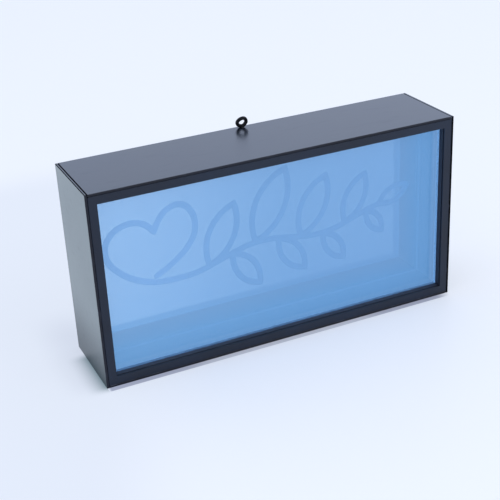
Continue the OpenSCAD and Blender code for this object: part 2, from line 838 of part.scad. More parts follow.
module battery_housing() {
    trough_r = cell_d / 2 + trough_gap;
    outer_w = bay_w + 2 * bay_wall;
    outer_l = bay_l + 2 * bay_wall;
    end_l = contact_t + spring_l + 0.5;
    color("#1a1c1f") difference() {
        union() {
            translate([bay_x - outer_w / 2, bay_floor_y, bay_z - outer_l / 2])
                cube([outer_w, cover_y - bay_floor_y, outer_l]);
            translate([bay_x - outer_w / 2 - bay_flange_w, cover_y - bay_flange_t,
                       bay_z - outer_l / 2 - bay_flange_w])
                cube([outer_w + 2 * bay_flange_w, bay_flange_t, outer_l + bay_flange_w]);
        }
        for (i = [0:cell_n - 1])
            translate([cell_x(i), cell_y, bay_z - bay_l / 2]) cylinder(r = trough_r, h = bay_l);
        translate([bay_x - bay_w / 2, cell_y, bay_z - bay_l / 2])
            cube([bay_w, cover_y - cell_y + over, bay_l]);
        for (z = [bay_z - bay_l / 2, bay_z + bay_l / 2 - end_l])
            translate([bay_x - bay_w / 2, cell_y - trough_r, z])
                cube([bay_w, trough_r + over, end_l]);
        for (x = [red_tag_x, black_tag_x])
            translate([x - tag_w / 2 - tag_gap, tag_y - contact_t / 2 - tag_gap,
                       bay_z + bay_l / 2 - over])
                cube([tag_w + 2 * tag_gap, contact_t + 2 * tag_gap, bay_wall + 2 * over]);
    }
}

// One cell standing on its flat end
module cell() {
    r = cell_d / 2;
    rotate_extrude()
        polygon([[0, 0], [r - cell_bevel, 0], [r, cell_edge], [r, cell_l - cell_edge],
                 [r - cell_bevel, cell_l], [cell_cap_r, cell_l],
                 [cell_cap_r, cell_l + cell_cap_h - cap_edge],
                 [cell_cap_r - cap_edge, cell_l + cell_cap_h], [0, cell_l + cell_cap_h]]);
}

module battery_cells() {
    foot = contact_t + spring_l - bay_l / 2;
    color("#c9a24a") for (i = [0:cell_n - 1])
        translate([cell_x(i), cell_y, bay_z]) rotate([i % 2 == 0 ? 0 : 180, 0, 0])
            translate([0, 0, foot]) cell();
}

// A conical coil as one unbroken tube, its wide end down
function coil_r(u) = spring_base_r + (spring_tip_r - spring_base_r) * u;
function coil_point(u) =
    let (a = 360 * spring_curls * u)
    [coil_r(u) * cos(a), coil_r(u) * sin(a),
     spring_wire_r + (spring_l - 2 * spring_wire_r) * u];
function coil_ring(u) =
    let (a = 360 * spring_curls * u)
    [for (k = [0:spring_sides - 1]) let (b = 360 * k / spring_sides)
        coil_point(u) + spring_wire_r * [cos(b) * cos(a), cos(b) * sin(a), sin(b)]];
coil_steps = spring_curls * spring_rings;
coil_gap = min([for (i = [0:coil_steps]) for (k = [i + spring_rings / 2:coil_steps])
    norm(coil_point(k / coil_steps) - coil_point(i / coil_steps))]) - 2 * spring_wire_r;
echo(least_gap_between_spring_curls = coil_gap);

// Side and end faces of a tube of rings, each ring a list of n points
function tube_faces(rings, n) = concat(
    [for (i = [0:rings - 2]) for (k = [0:n - 1]) [i * n + k, (i + 1) * n + k, (i + 1) * n + (k + 1) % n]],
    [for (i = [0:rings - 2]) for (k = [0:n - 1]) [i * n + k, (i + 1) * n + (k + 1) % n, i * n + (k + 1) % n]],
    [for (k = [1:n - 2]) [0, k, k + 1]],
    [for (k = [1:n - 2]) [(rings - 1) * n, (rings - 1) * n + k + 1, (rings - 1) * n + k]]);

module coil_spring() {
    polyhedron(points = [for (i = [0:coil_steps]) each coil_ring(i / coil_steps)],
               faces = tube_faces(coil_steps + 1, spring_sides));
}

module battery_springs() {
    color("#c8ccd0") for (i = [0:cell_n - 1])
        translate([cell_x(i), cell_y, bay_z]) rotate([i % 2 == 0 ? 0 : 180, 0, 0])
            translate([0, 0, contact_t - bay_l / 2]) coil_spring();
}

// A contact plate against an end wall, from one cell to another, at the foot or the head
module contact_plate(first, last, head) {
    w = cell_x(last) - cell_x(first) + contact_w;
    translate([cell_x(first) - contact_w / 2, cell_y - contact_h / 2,
               bay_z + (head ? bay_l / 2 - contact_t : -bay_l / 2)])
        cube([w, contact_h, contact_t]);
}

module battery_contacts() {
    color("#bfc3c8") {
        for (i = [0:2:cell_n - 2]) contact_plate(i, i + 1, false);
        if (cell_n > 2) for (i = [1:2:cell_n - 3]) contact_plate(i, i + 1, true);
        for (i = [0, cell_n - 1]) contact_plate(i, i, true);
        for (x = [red_tag_x, black_tag_x])
            translate([x - tag_w / 2, tag_y - contact_t / 2, bay_z + bay_l / 2 - contact_t])
                cube([tag_w, contact_t, tag_l]);
    }
}

module battery_door() {
    tab_l = cover_face_y - door_t - tongue_tab_y;
    color("#26292e") {
        translate([bay_x - door_w / 2, cover_face_y - door_t, door_foot_z])
            cube([door_w, door_t, door_h]);
        translate([bay_x - door_w / 2, hinge_y, hinge_z]) rotate([0, 90, 0])
            cylinder(r = barrel_r, h = door_w);
        translate([bay_x - door_w / 2 - hinge_pin_l, hinge_y, hinge_z]) rotate([0, 90, 0])
            cylinder(r = hinge_pin_r, h = door_w + 2 * hinge_pin_l);
        translate([bay_x - tongue_tab_w / 2, tongue_tab_y, bay_z - bay_l / 2 + run_gap + contact_t])
            cube([tongue_tab_w, tab_l + door_t / 2, tongue_tab_t]);
        for (i = [1:grip_n])
            translate([bay_x - grip_w / 2, cover_face_y - door_t / 2,
                       door_foot_z + grip_start + i * grip_pitch])
                cube([grip_w, door_t / 2 + grip_h, grip_bar]);
    }
}

// Control board, switch and inlet

module control_board() {
    color("#1f5a3a") difference() {
        upright(board_y, board_t) translate([board_x, board_z])
            square([board_w, board_h], center = true);
        for (sx = [-1, 1], sz = [-1, 1])
            bar(board_x + sx * post_x, board_z + sz * post_z, board_screw_r + plate_gap,
                board_y - over, board_t + 2 * over);
    }
}

// Parts on the side of the board that faces the lamps: a capacitor, a driver chip and resistors
module board_components() {
    color("#3a3d42") {
        bar(board_x + can_capacitor[0], board_z + can_capacitor[1], can_capacitor[2],
            board_y - can_capacitor[3], can_capacitor[3]);
        translate([board_x + chip_x, board_y - chip[1], board_z - chip[2] / 2]) cube(chip);
        for (i = [0:3])
            translate([board_x + resistor_x + i * resistor_pitch, board_y - resistor[1],
                       board_z + resistor_z])
                cube(resistor);
    }
}

module board_screws() {
    color("#b8bcc2") for (sx = [-1, 1], sz = [-1, 1])
        translate([board_x + sx * post_x, board_y - board_head_h, board_z + sz * post_z])
            rotate([0, 0, 180]) pan_screw(board_screw_r, board_screw_l, board_head_r, board_head_h);
}

module switch_housing() {
    stem_slot = stem_s + switch_travel + 2 * run_gap;
    color("#c2c6ca") difference() {
        translate([switch_x - can_w / 2, board_y + board_t, board_z - can_h / 2])
            cube([can_w, can_d, can_h]);
        translate([switch_x - stem_slot / 2, board_y + board_t + can_wall,
                   board_z - stem_s / 2 - run_gap])
            cube([stem_slot, can_d, stem_s + 2 * run_gap]);
    }
}

// The slider at rest stands at the off end of its travel
module switch_slider() {
    x = switch_x - switch_travel / 2;
    can_face_y = board_y + board_t + can_d;
    skirt_y = cover_y - skirt_gap - skirt_t;
    cap_face_y = cover_face_y + cap_out;
    color("#d9dce0") {
        translate([x - stem_s / 2, can_face_y - can_d + can_wall + run_gap, board_z - stem_s / 2])
            cube([stem_s, skirt_y - can_face_y + can_d - can_wall - run_gap + skirt_t, stem_s]);
        translate([x - skirt_w / 2, skirt_y, board_z - skirt_h / 2])
            cube([skirt_w, skirt_t, skirt_h]);
        translate([x - cap_w / 2, skirt_y, board_z - cap_h / 2])
            cube([cap_w, cap_face_y - skirt_y, cap_h]);
        for (i = [0:cap_ribs - 1])
            translate([x + (i - (cap_ribs - 1) / 2) * cap_w / cap_ribs - cap_rib_t / 2, skirt_y,
                       board_z - cap_h / 2])
                cube([cap_rib_t, cap_face_y - skirt_y + cap_rib_h, cap_h]);
    }
}

module usb_inlet() {
    base_y = board_y + board_t;
    color("#c9cdd1") {
        translate([0, 0, board_z]) difference() {
            upright(base_y, usb_l) translate([usb_x, 0]) rounded_outline(usb_w, usb_h);
            upright(base_y + usb_wall * 2, usb_l) translate([usb_x, 0])
                rounded_outline(usb_w - 2 * usb_wall, usb_h - 2 * usb_wall);
        }
        translate([usb_x - usb_tongue_w / 2, base_y, board_z - usb_tongue_t / 2])
            cube([usb_tongue_w, usb_l - 1, usb_tongue_t]);
    }
}

// Leads: a tube along a smooth route

function route(points) = curve(points, lead_steps);
function frame_side(d) = let (s = cross(d, abs(d[1]) > 0.9 ? [0, 0, 1] : [0, 1, 0])) s / norm(s);
function lead_ring(p, i) =
    let (d = along(p, i), u = frame_side(d), v = cross(d, u))
    [for (k = [0:lead_sides - 1]) let (b = 360 * k / lead_sides)
        p[i] + lead_r * (cos(b) * u + sin(b) * v)];

module lead(points) {
    path = route(points);
    polyhedron(points = [for (i = [0:len(path) - 1]) each lead_ring(path, i)],
               faces = tube_faces(len(path), lead_sides));
}

module battery_lead_red() {
    color("#c0392b") lead(RED_BATTERY);
}

module battery_lead_black() {
    color("#1b1b1d") lead(BLACK_BATTERY);
}

// From the board straight back to the lamp strip, through the lamp plate
module lamp_lead(z, bend) {
    mid_y = (board_y + lamp_back_y) / 2;
    pad_z = board_z + lamp_pad_z;
    lead([[lamp_hole_x + bend, board_y - lead_gap, pad_z], [lamp_hole_x + bend, board_y - 2.5, pad_z],
          [lamp_hole_x + bend / 2, mid_y, (pad_z + z) / 2],
          [lamp_hole_x, lamp_back_y + 2.5, z], [lamp_hole_x, lamp_plate_y, z]]);
}

module lamp_lead_red() {
    color("#c0392b") lamp_lead(lamp_lead_z[0], 2);
}

module lamp_lead_black() {
    color("#1b1b1d") lamp_lead(lamp_lead_z[1], -2);
}

left_end_panel();
right_end_panel();
top_panel();
bottom_panel();
front_bezel();
window_retainer();
window_tape();
one_way_window();
chamber_top_rail();
chamber_bottom_rail();
chamber_left_rail();
chamber_right_rail();
mirror_foam();
mirror_panel();
heart_light_line();
vine_light_line();
light_diffuser();
rear_top_rail();
rear_bottom_rail();
rear_left_rail();
rear_right_rail();
lamp_plate();
lamp_plate_screws();
lamp_strip();
lamps();
hanging_eye();
back_cover();
cover_screws();
battery_housing();
battery_cells();
battery_springs();
battery_contacts();
battery_door();
control_board();
board_components();
board_screws();
switch_housing();
switch_slider();
usb_inlet();
battery_lead_red();
battery_lead_black();
lamp_lead_red();
lamp_lead_black();
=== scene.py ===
"""Looks of the mirror light box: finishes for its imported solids, and finer pieces in the place of some of them.

The row frame is in metres: X to the right, Y from the front to the back, Z up, the origin in the middle of the base.
"""

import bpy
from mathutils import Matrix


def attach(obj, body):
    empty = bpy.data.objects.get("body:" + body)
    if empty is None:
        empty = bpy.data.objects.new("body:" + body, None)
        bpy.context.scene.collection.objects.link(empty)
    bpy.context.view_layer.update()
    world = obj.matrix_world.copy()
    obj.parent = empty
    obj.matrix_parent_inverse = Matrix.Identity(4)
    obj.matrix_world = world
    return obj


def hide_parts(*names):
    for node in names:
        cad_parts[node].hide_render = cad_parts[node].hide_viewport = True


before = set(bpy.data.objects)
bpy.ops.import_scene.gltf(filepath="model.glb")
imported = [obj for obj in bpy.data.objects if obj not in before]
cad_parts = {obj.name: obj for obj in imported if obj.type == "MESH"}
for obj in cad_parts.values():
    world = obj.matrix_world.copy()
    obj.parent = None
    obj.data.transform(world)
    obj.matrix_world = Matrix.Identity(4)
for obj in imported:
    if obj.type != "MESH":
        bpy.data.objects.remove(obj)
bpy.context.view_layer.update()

import logging
import math
import operator
from dataclasses import dataclass
from enum import Enum
from functools import reduce
from typing import Any, Iterable, Sequence

import bmesh
import bpy
import numpy as np
from mathutils import Matrix, Vector

MM = 0.001
log = logging.getLogger("light_box")

Pair = tuple[float, float]
Triple = tuple[float, float, float]
Colour = tuple[float, float, float, float]
Inputs = dict[str | int, Any]


def srgb(red: float, green: float, blue: float) -> Colour:
    """Turns a display colour into scene light.

    A channel c in 0 to 1 becomes ((c + 0.055) / 1.055) ^ 2.4, or c / 12.92 where it is very dark.

    Args:
        red, green, blue: channels from 0 to 255.

    Returns:
        The linear colour with an alpha of 1.
    """
    channels = np.array([red, green, blue]) / 255
    light = np.where(channels > 0.04045, ((channels + 0.055) / 1.055) ** 2.4, channels / 12.92)
    return (float(light[0]), float(light[1]), float(light[2]), 1.0)


# ---------------------------------------------------------------------------------------------
# Shader maths
# ---------------------------------------------------------------------------------------------


class Signal:
    """A value in a material that takes part in sums; each operator adds its Math node."""

    def __init__(self, shader: "Shader", socket: bpy.types.NodeSocket) -> None:
        """Wraps one output socket of a node."""
        self.shader = shader
        self.socket = socket

    def _math(self, operation: str, *values: Any) -> "Signal":
        """Adds one Math node and returns its result."""
        inputs = dict(enumerate(values))
        return self.shader.signal(self.shader.add("ShaderNodeMath", {"operation": operation}, inputs))

    def __add__(self, other: Any) -> "Signal":
        """Sum."""
        return self._math("ADD", self, other)

    __radd__ = __add__

    def __sub__(self, other: Any) -> "Signal":
        """Difference."""
        return self._math("SUBTRACT", self, other)

    def __rsub__(self, other: Any) -> "Signal":
        """Difference from a number."""
        return self._math("SUBTRACT", other, self)

    def __mul__(self, other: Any) -> "Signal":
        """Product."""
        return self._math("MULTIPLY", self, other)

    __rmul__ = __mul__

    def __truediv__(self, other: Any) -> "Signal":
        """Quotient."""
        return self._math("DIVIDE", self, other)

    def __abs__(self) -> "Signal":
        """Size without sign."""
        return self._math("ABSOLUTE", self)

    def over(self, limit: float) -> "Signal":
        """1 where the value is above a limit, else 0."""
        return self._math("GREATER_THAN", self, limit)

    def under(self, limit: float) -> "Signal":
        """1 where the value is below a limit, else 0."""
        return self._math("LESS_THAN", self, limit)

    def most(self, other: Any) -> "Signal":
        """The larger of two values."""
        return self._math("MAXIMUM", self, other)

    def repeat(self, step: float) -> "Signal":
        """The value folded into 0 to 1 once every step."""
        return self._math("FRACT", self / step)

    def spread(self, low: float, high: float, start: float = 0.0, end: float = 1.0) -> "Signal":
        """Eases the range low to high into start to end, and holds it outside.

        Args:
            low, high: the range of the value.
            start, end: what the result is at its two ends.

        Returns:
            The eased value.
        """
        node = self.shader.add("ShaderNodeMapRange", {"interpolation_type": "SMOOTHSTEP"},
                               {"Value": self, "From Min": low, "From Max": high,
                                "To Min": start, "To Max": end})
        return self.shader.signal(node)

    def fade(self, low: float, high: float) -> "Signal":
        """1 below the range and 0 above it, eased in between."""
        return self.spread(low, high, 1.0, 0.0)


class Shader:
    """The nodes of one material or of the world, added by short calls."""

    def __init__(self, name: str, world: bpy.types.World | None = None) -> None:
        """Starts with no nodes.

        Args:
            name: the new material's name.
            world: the world that takes the nodes in the place of a material.
        """
        self.owner = world or bpy.data.materials.new(name)
        self.owner.use_nodes = True
        self.tree = self.owner.node_tree
        self.tree.nodes.clear()
        self._kept: dict[str, Any] = {}

    def add(self, kind: str, settings: dict[str, Any] | None = None,
            inputs: Inputs | None = None) -> bpy.types.Node:
        """Adds a node.

        Args:
            kind: the node's type.
            settings: its properties, set first.
            inputs: values, signals or sockets by input name or number.

        Returns:
            The node.
        """
        node = self.tree.nodes.new(kind)
        for key, value in (settings or {}).items():
            setattr(node, key, value)
        for key, value in (inputs or {}).items():
            if isinstance(value, Signal):
                self.tree.links.new(value.socket, node.inputs[key])
            elif isinstance(value, bpy.types.NodeSocket):
                self.tree.links.new(value, node.inputs[key])
            else:
                node.inputs[key].default_value = value
        return node

    def signal(self, node: bpy.types.Node, output: str | int = 0) -> Signal:
        """One output of a node as a signal."""
        return Signal(self, node.outputs[output])

    def _coordinates(self, kind: str) -> bpy.types.NodeSocket:
        """One output of the Texture Coordinate node, which is made once.

        Args:
            kind: the output's name.

        Returns:
            The output.
        """
        if "coordinates" not in self._kept:
            self._kept["coordinates"] = self.add("ShaderNodeTexCoord")
        return self._kept["coordinates"].outputs[kind]

    def _along(self, kind: str, axis: str) -> Signal:
        """One axis of a coordinate, whose Separate XYZ node is made once.

        Args:
            kind: the coordinate's name.
            axis: X, Y or Z.

        Returns:
            The value along the axis.
        """
        if kind not in self._kept:
            self._kept[kind] = self.add("ShaderNodeSeparateXYZ", inputs={0: self._coordinates(kind)})
        return self.signal(self._kept[kind], axis)

    def place(self, axis: str) -> Signal:
        """The place along X, Y or Z of the row frame, in metres."""
        return self._along("Object", axis)

    def facing(self, axis: str) -> Signal:
        """How far the surface faces along X, Y or Z, from -1 to 1, whatever way the piece has turned."""
        return self._along("Normal", axis)

    def noise(self, scale: float, detail: float = 3.0, stretch: Sequence[float] = (1, 1, 1)) -> Signal:
        """Cloudy noise.

        Args:
            scale: features to the metre.
            detail: how many finer layers it has.
            stretch: how much closer the features lie along each axis.

        Returns:
            A value from 0 to 1.
        """
        mapped = self.add("ShaderNodeMapping", inputs={"Vector": self._coordinates("Object"),
                                                       "Scale": tuple(stretch)})
        return self.signal(self.add("ShaderNodeTexNoise", {"noise_dimensions": "3D"},
                                    {"Vector": mapped.outputs[0], "Scale": scale, "Detail": detail}))

    def cells(self, scale: float) -> Signal:
        """Distance to the nearest of scattered points, with scale of them to the metre."""
        return self.signal(self.add("ShaderNodeTexVoronoi", {"feature": "F1"},
                                    {"Vector": self._coordinates("Object"), "Scale": scale}))

    def blend(self, mask: Signal, first: Any, second: Any) -> bpy.types.NodeSocket:
        """A colour that goes from first to second as the mask goes from 0 to 1."""
        node = self.add("ShaderNodeMix", {"data_type": "RGBA"}, {0: mask, 6: first, 7: second})
        return node.outputs[2]

    def bump(self, height: Signal, depth: float) -> bpy.types.NodeSocket:
        """A surface normal from a height of 0 to 1 that stands depth metres high."""
        return self.add("ShaderNodeBump", inputs={"Height": height, "Distance": depth}).outputs[0]

    def seen(self) -> Signal:
        """Tells what is seen from what only lights the scene.

        Returns:
            1 for rays from the camera, mirrors and glass, else 0.
        """
        path = self.add("ShaderNodeLightPath")
        camera, glossy, through = (self.signal(path, f"Is {ray} Ray") for ray in ("Camera", "Glossy", "Transmission"))
        return camera.most(glossy).most(through)

    def surface(self, inputs: Inputs) -> bpy.types.NodeSocket:
        """One Principled BSDF that takes these inputs."""
        return self.add("ShaderNodeBsdfPrincipled", inputs=inputs).outputs[0]

    def either(self, share: Signal, first: Any, second: Any) -> bpy.types.NodeSocket:
        """A surface that goes from first to second as the share goes from 0 to 1."""
        return self.add("ShaderNodeMixShader", inputs={0: share, 1: first, 2: second}).outputs[0]

    def close(self, surface: bpy.types.NodeSocket, kind: str = "ShaderNodeOutputMaterial") -> bpy.types.ID:
        """Ends the nodes with an output of this kind that takes the surface, and gives the material or world."""
        self.add(kind, inputs={"Surface": surface})
        return self.owner

    def finish(self, inputs: Inputs) -> bpy.types.Material:
        """Ends the material with one Principled BSDF that takes these inputs."""
        return self.close(self.surface(inputs))


# ---------------------------------------------------------------------------------------------
# Finishes
# ---------------------------------------------------------------------------------------------


@dataclass(frozen=True)
class SatinSheet:
    """Satin black lacquer on sheet: faint clouds, fine grain, handling marks, dull cut edges, painted shade in the
    open seam.

    Seen from above, the seam is painted near-black as shade within seam_w of seam_x and from -lip_x outwards, and so
    are the chamfers along the edges that run front to back. In front this painted shade runs from deep_x outwards.
    The cut edges in front are dull. The foot of the flanks takes a painted shade through the same duller finish, less
    and less up to foot_top. The reflections carry a painted blue tint, and on the flanks the coat gives them a
    painted cyan one.
    """

    name: str
    colour: Colour
    worn: Colour
    roughness: float = 0.3
    ior: float = 1.8
    coat: float = 0.75
    coat_roughness: float = 0.2
    seam_x: float = -148 * MM
    seam_w: float = 0.6 * MM
    lip_x: float = 149.45 * MM
    deep_x: float = 148.3 * MM
    cut_ior: float = 1.4
    # gap_ior and gap: the finish of the painted shade in the seams and chamfers, near-black with almost no reflection
    gap_ior: float = 1.08
    gap: Colour = srgb(3, 4, 8)
    # painted reflection colour: the reflections are tinted blue, and on the flanks the coat tints them cyan
    reflection_tint: Colour = srgb(208, 236, 255)
    front_coat: Colour = (1.0, 1.0, 1.0, 1.0)
    flank_reflection_tint: Colour = srgb(238, 255, 255)
    # foot and foot_top: painted shade, the flanks turn duller towards their foot and less so upwards
    foot: float = 0.5
    foot_top: float = 60 * MM
    grain: float = 1700.0
    grain_depth: float = 0.012 * MM

    def make(self) -> bpy.types.Material:
        """Builds the material.

        Returns:
            The material.
        """
        s = Shader(self.name)
        square = abs(s.facing("X")).most(abs(s.facing("Y"))).most(abs(s.facing("Z")))
        chamfer = square.fade(0.8, 0.97)
        wear = chamfer * s.noise(120, 4).spread(0.5, 0.75)
        clouds = s.noise(24, 3)
        marks = s.noise(38, 5, (1.0, 5.0, 5.0)).spread(0.56, 0.8)
        pale = tuple(1.5 * c for c in self.colour[:3]) + (1.0,)
        x = s.place("X")
        # painted shade: the seam, the chamfers along the sides and the front edge past deep_x are painted near-black
        seam = abs(x - self.seam_x).under(self.seam_w).most(x.under(-self.lip_x)) * abs(s.facing("Z")).over(0.3)
        seam = seam.most(x.over(self.deep_x) * s.facing("Y").under(-0.5))
        rim = chamfer.over(0.3) * abs(s.facing("Y")).under(0.3)
        painted_gap_shade = seam.most(rim)
        clean = s.blend(clouds.spread(0.3, 0.75), self.colour, pale)
        base = s.blend(painted_gap_shade, s.blend(wear, clean, self.worn), self.gap)
        rough = self.roughness - 0.05 + 0.08 * clouds + 0.05 * marks + 0.1 * wear
        normal = s.bump(s.noise(self.grain, 2), self.grain_depth)
        # the flanks get a copy with the cyan coat tint: painted reflection colour
        lacquer, flank = (s.surface({
            "Base Color": base, "Roughness": rough, "IOR": self.ior, "Specular Tint": self.reflection_tint, "Normal": normal,
            "Coat Weight": self.coat, "Coat Roughness": self.coat_roughness, "Coat Tint": coat})
            for coat in (self.front_coat, self.flank_reflection_tint))
        cut, gap = (s.surface({"Base Color": base, "Roughness": rough + 0.2, "IOR": ior, "Normal": normal})
                    for ior in (self.cut_ior, self.gap_ior))
        side = abs(s.facing("X")).over(0.6)
        # painted shade: the flanks are duller near their foot
        painted_foot_shade = side * s.place("Z").spread(0.0, self.foot_top, self.foot, 0.0)
        edges = abs(s.facing("Y")).over(0.5)
        dulled = s.either(edges.most(painted_foot_shade), s.either(side, lacquer, flank), cut)
        return s.close(s.either(painted_gap_shade, dulled, gap))


@dataclass(frozen=True)
class MouldedPlastic:
    """Moulded plastic with an eroded grain, so many cells to the metre and so many millimetres deep."""

    name: str
    colour: Colour
    roughness: float = 0.5
    grain: float = 1300.0
    depth: float = 0.03
    glow: Colour = (0.0, 0.0, 0.0, 1.0)
    strength: float = 0.0

    def make(self) -> bpy.types.Material:
        """Builds the material.

        Returns:
            The material.
        """
        s = Shader(self.name)
        clouds = s.noise(45, 3)
        grain = s.cells(self.grain) * 0.6 + s.noise(self.grain * 1.7, 2) * 0.5
        pale = tuple(min(1.0, 1.16 * c + 0.002) for c in self.colour[:3]) + (1.0,)
        base = s.blend(clouds.spread(0.3, 0.7), self.colour, pale)
        return s.finish({"Base Color": base,
                         "Roughness": self.roughness - 0.06 + 0.12 * clouds,
                         "Emission Color": self.glow, "Emission Strength": self.strength,
                         "Normal": s.bump(grain, self.depth * MM)})


class Lay(Enum):
    """Which way the fine lines of a metal run."""

    ALONG_X = (1.0, 26.0, 26.0)
    ALONG_Z = (26.0, 26.0, 1.0)
    NONE = (1.0, 1.0, 1.0)


@dataclass(frozen=True)
class BareMetal:
    """Rolled or plated metal with fine lines one way and faint stains."""

    name: str
    colour: Colour
    roughness: float = 0.3
    lay: Lay = Lay.NONE
    stain: float = 1.0

    def make(self) -> bpy.types.Material:
        """Builds the material.

        Returns:
            The material.
        """
        s = Shader(self.name)
        lines = s.noise(170, 4, self.lay.value)
        stains = s.noise(260, 3) * self.stain
        dull = tuple(0.72 * c for c in self.colour[:3]) + (1.0,)
        return s.finish({"Base Color": s.blend(stains.spread(0.45, 0.8), self.colour, dull),
                         "Metallic": 1.0,
                         "Roughness": self.roughness - 0.08 + 0.16 * lines + 0.1 * stains.spread(0.5, 0.8),
                         "Normal": s.bump(lines, 0.01 * MM)})


@dataclass(frozen=True)
class EyeLacquer:
    """Thick gloss lacquer dipped over steel wire."""

    name: str = "black_wire_lacquer"
    colour: Colour = srgb(5, 6, 12)
    rubbed: Colour = srgb(46, 50, 58)
    rubbed_share: float = 0.3

    def make(self) -> bpy.types.Material:
        """Builds the material.

        Returns:
            The material.
        """
        s = Shader(self.name)
        ripple = s.noise(420, 3)
        rubbed = s.noise(900, 4).spread(0.62, 0.78)
        return s.finish({"Base Color": s.blend(rubbed * self.rubbed_share, self.colour, self.rubbed),
                         "Roughness": 0.3 + 0.14 * ripple, "IOR": 1.27,
                         "Coat Weight": 0.08, "Coat Roughness": 0.1,
                         "Normal": s.bump(ripple, 0.05 * MM)})


@dataclass(frozen=True)
class WindowFilm:
    """Clear glossy sheet with a misty blue half-mirror film on its back: part shows through, part scatters, and the
    film glows with painted light.

    The film covers what lies behind film_y, and its colour goes from film_left to film_right over drift, a painted
    reflection that is lighter on the left. Towards the right and the lower edge its painted glow gets deeper over the
    two deep ranges and then paler over rim_w, a painted highlight against the recess's shade. In the hem along these
    edges almost nothing shows through, and a painted glow lights the bezel's shade there. The edges stand at the X
    and the Z given.
    """

    name: str = "one_way_film"
    # film_left to film_right: painted reflection, lighter on the left
    film_left: Colour = srgb(88, 124, 152)
    film_right: Colour = srgb(70, 108, 144)
    share: float = 0.6
    gloss: float = 0.03
    mirror: float = 0.08
    # glow and strength: painted light, an emission in the place of the light that the film reflects and scatters
    glow: Colour = srgb(112, 164, 222)
    strength: float = 0.93
    painted_deep_glow: Colour = srgb(96, 165, 231)
    painted_rim_light: Colour = srgb(140, 190, 250)
    film_y: float = -27 * MM
    drift: Pair = (-160 * MM, 160 * MM)
    edges: Pair = (141.6 * MM, 8.4 * MM)
    deep_inward: Pair = (12 * MM, 46 * MM)
    deep_upward: Pair = (10 * MM, 40 * MM)
    rim_w: float = 7 * MM
    low_rim: float = 0.6
    hem: float = 0.2 * MM
    hem_share: float = 0.92
    painted_hem_light: Colour = srgb(129, 188, 253)

    def make(self) -> bpy.types.Material:
        """Builds the material.

        Returns:
            The material.
        """
        s = Shader(self.name)
        back = s.place("Y").over(self.film_y)
        ripple = s.noise(9, 2)
        film = s.blend(s.place("X").spread(*self.drift), self.film_left, self.film_right)
        inward, upward = self.edges[0] - s.place("X"), s.place("Z") - self.edges[1]
        # painted light: deeper glow inward of the right and lower edges, paler glow at the edges against the recess's
        # shade, and a bright hem in the bezel's shade
        deep = inward.fade(*self.deep_inward).most(upward.fade(*self.deep_upward))
        rim = inward.fade(0.0, self.rim_w).most(self.low_rim * upward.fade(0.0, self.rim_w))
        hem = inward.under(self.hem).most(upward.under(self.hem))
        share = self.share + (self.hem_share - self.share) * hem
        glow = s.blend(hem, s.blend(rim, s.blend(deep, self.glow, self.painted_deep_glow), self.painted_rim_light), self.painted_hem_light)
        return s.finish({"Base Color": s.blend(back, (1, 1, 1, 1), film),
                         "Metallic": 1 - back * (1 - self.mirror),
                         "Roughness": 0.03 + 0.05 * back + 0.02 * ripple,
                         "Alpha": self.gloss + back * (share - self.gloss),
                         "Emission Color": s.blend(back, (0, 0, 0, 1), glow),
                         "Emission Strength": self.strength,
                         "Normal": s.bump(ripple, 0.01 * MM)})


@dataclass(frozen=True)
class Silvering:
    """Blue-tinted silvered sheet with the faintest waviness, lighter on the left and darker to the right as a painted
    reflection.
    """

    name: str = "silvered_sheet"
    # left to right over drift: painted reflection, lighter on the left
    left: Colour = srgb(212, 215, 211)
    right: Colour = srgb(124, 148, 162)
    drift: Pair = (-150 * MM, 40 * MM)

    def make(self) -> bpy.types.Material:
        """Builds the material.

        Returns:
            The material.
        """
        s = Shader(self.name)
        wave = s.noise(7, 2)
        return s.finish({"Base Color": s.blend(s.place("X").spread(*self.drift), self.left, self.right),
                         "Metallic": 1.0,
                         "Roughness": 0.05 + 0.05 * wave,
                         "Normal": s.bump(wave, 0.02 * MM)})


@dataclass(frozen=True)
class FrostedLine:
    """Sandblasted groove filled with clear resin: matt, faintly lit through the diffuser, and darker to the right
    with painted shade.
    """

    name: str = "frosted_light_line"
    # left to right over drift: painted shade, darker to the right
    left: Colour = srgb(130, 155, 188)
    right: Colour = srgb(44, 98, 138)
    drift: Pair = (-105 * MM, -15 * MM)
    glow: Colour = srgb(110, 168, 232)
    strength: float = 0.02

    def make(self) -> bpy.types.Material:
        """Builds the material.

        Returns:
            The material.
        """
        s = Shader(self.name)
        frost = s.noise(2600, 3)
        uneven = s.noise(30, 2)
        dim = tuple(0.82 * c for c in self.glow[:3]) + (1.0,)
        return s.finish({"Base Color": s.blend(s.place("X").spread(*self.drift), self.left, self.right),
                         "Roughness": 0.45 + 0.2 * frost,
                         "Emission Color": s.blend(uneven.spread(0.3, 0.7), dim, self.glow),
                         "Emission Strength": self.strength,
                         "Normal": s.bump(frost, 0.02 * MM)})


@dataclass(frozen=True)
class ClosedFoam:
    """Closed-cell foam strip with open skins of cut cells."""

    name: str
    colour: Colour
    cells: float = 2400.0

    def make(self) -> bpy.types.Material:
        """Builds the material.

        Returns:
            The material.
        """
        s = Shader(self.name)
        pores = s.cells(self.cells).spread(0.1, 0.55)
        dark = tuple(0.6 * c for c in self.colour[:3]) + (1.0,)
        return s.finish({"Base Color": s.blend(pores, dark, self.colour),
                         "Roughness": 0.75 + 0.15 * pores,
                         "Normal": s.bump(pores, 0.12 * MM)})


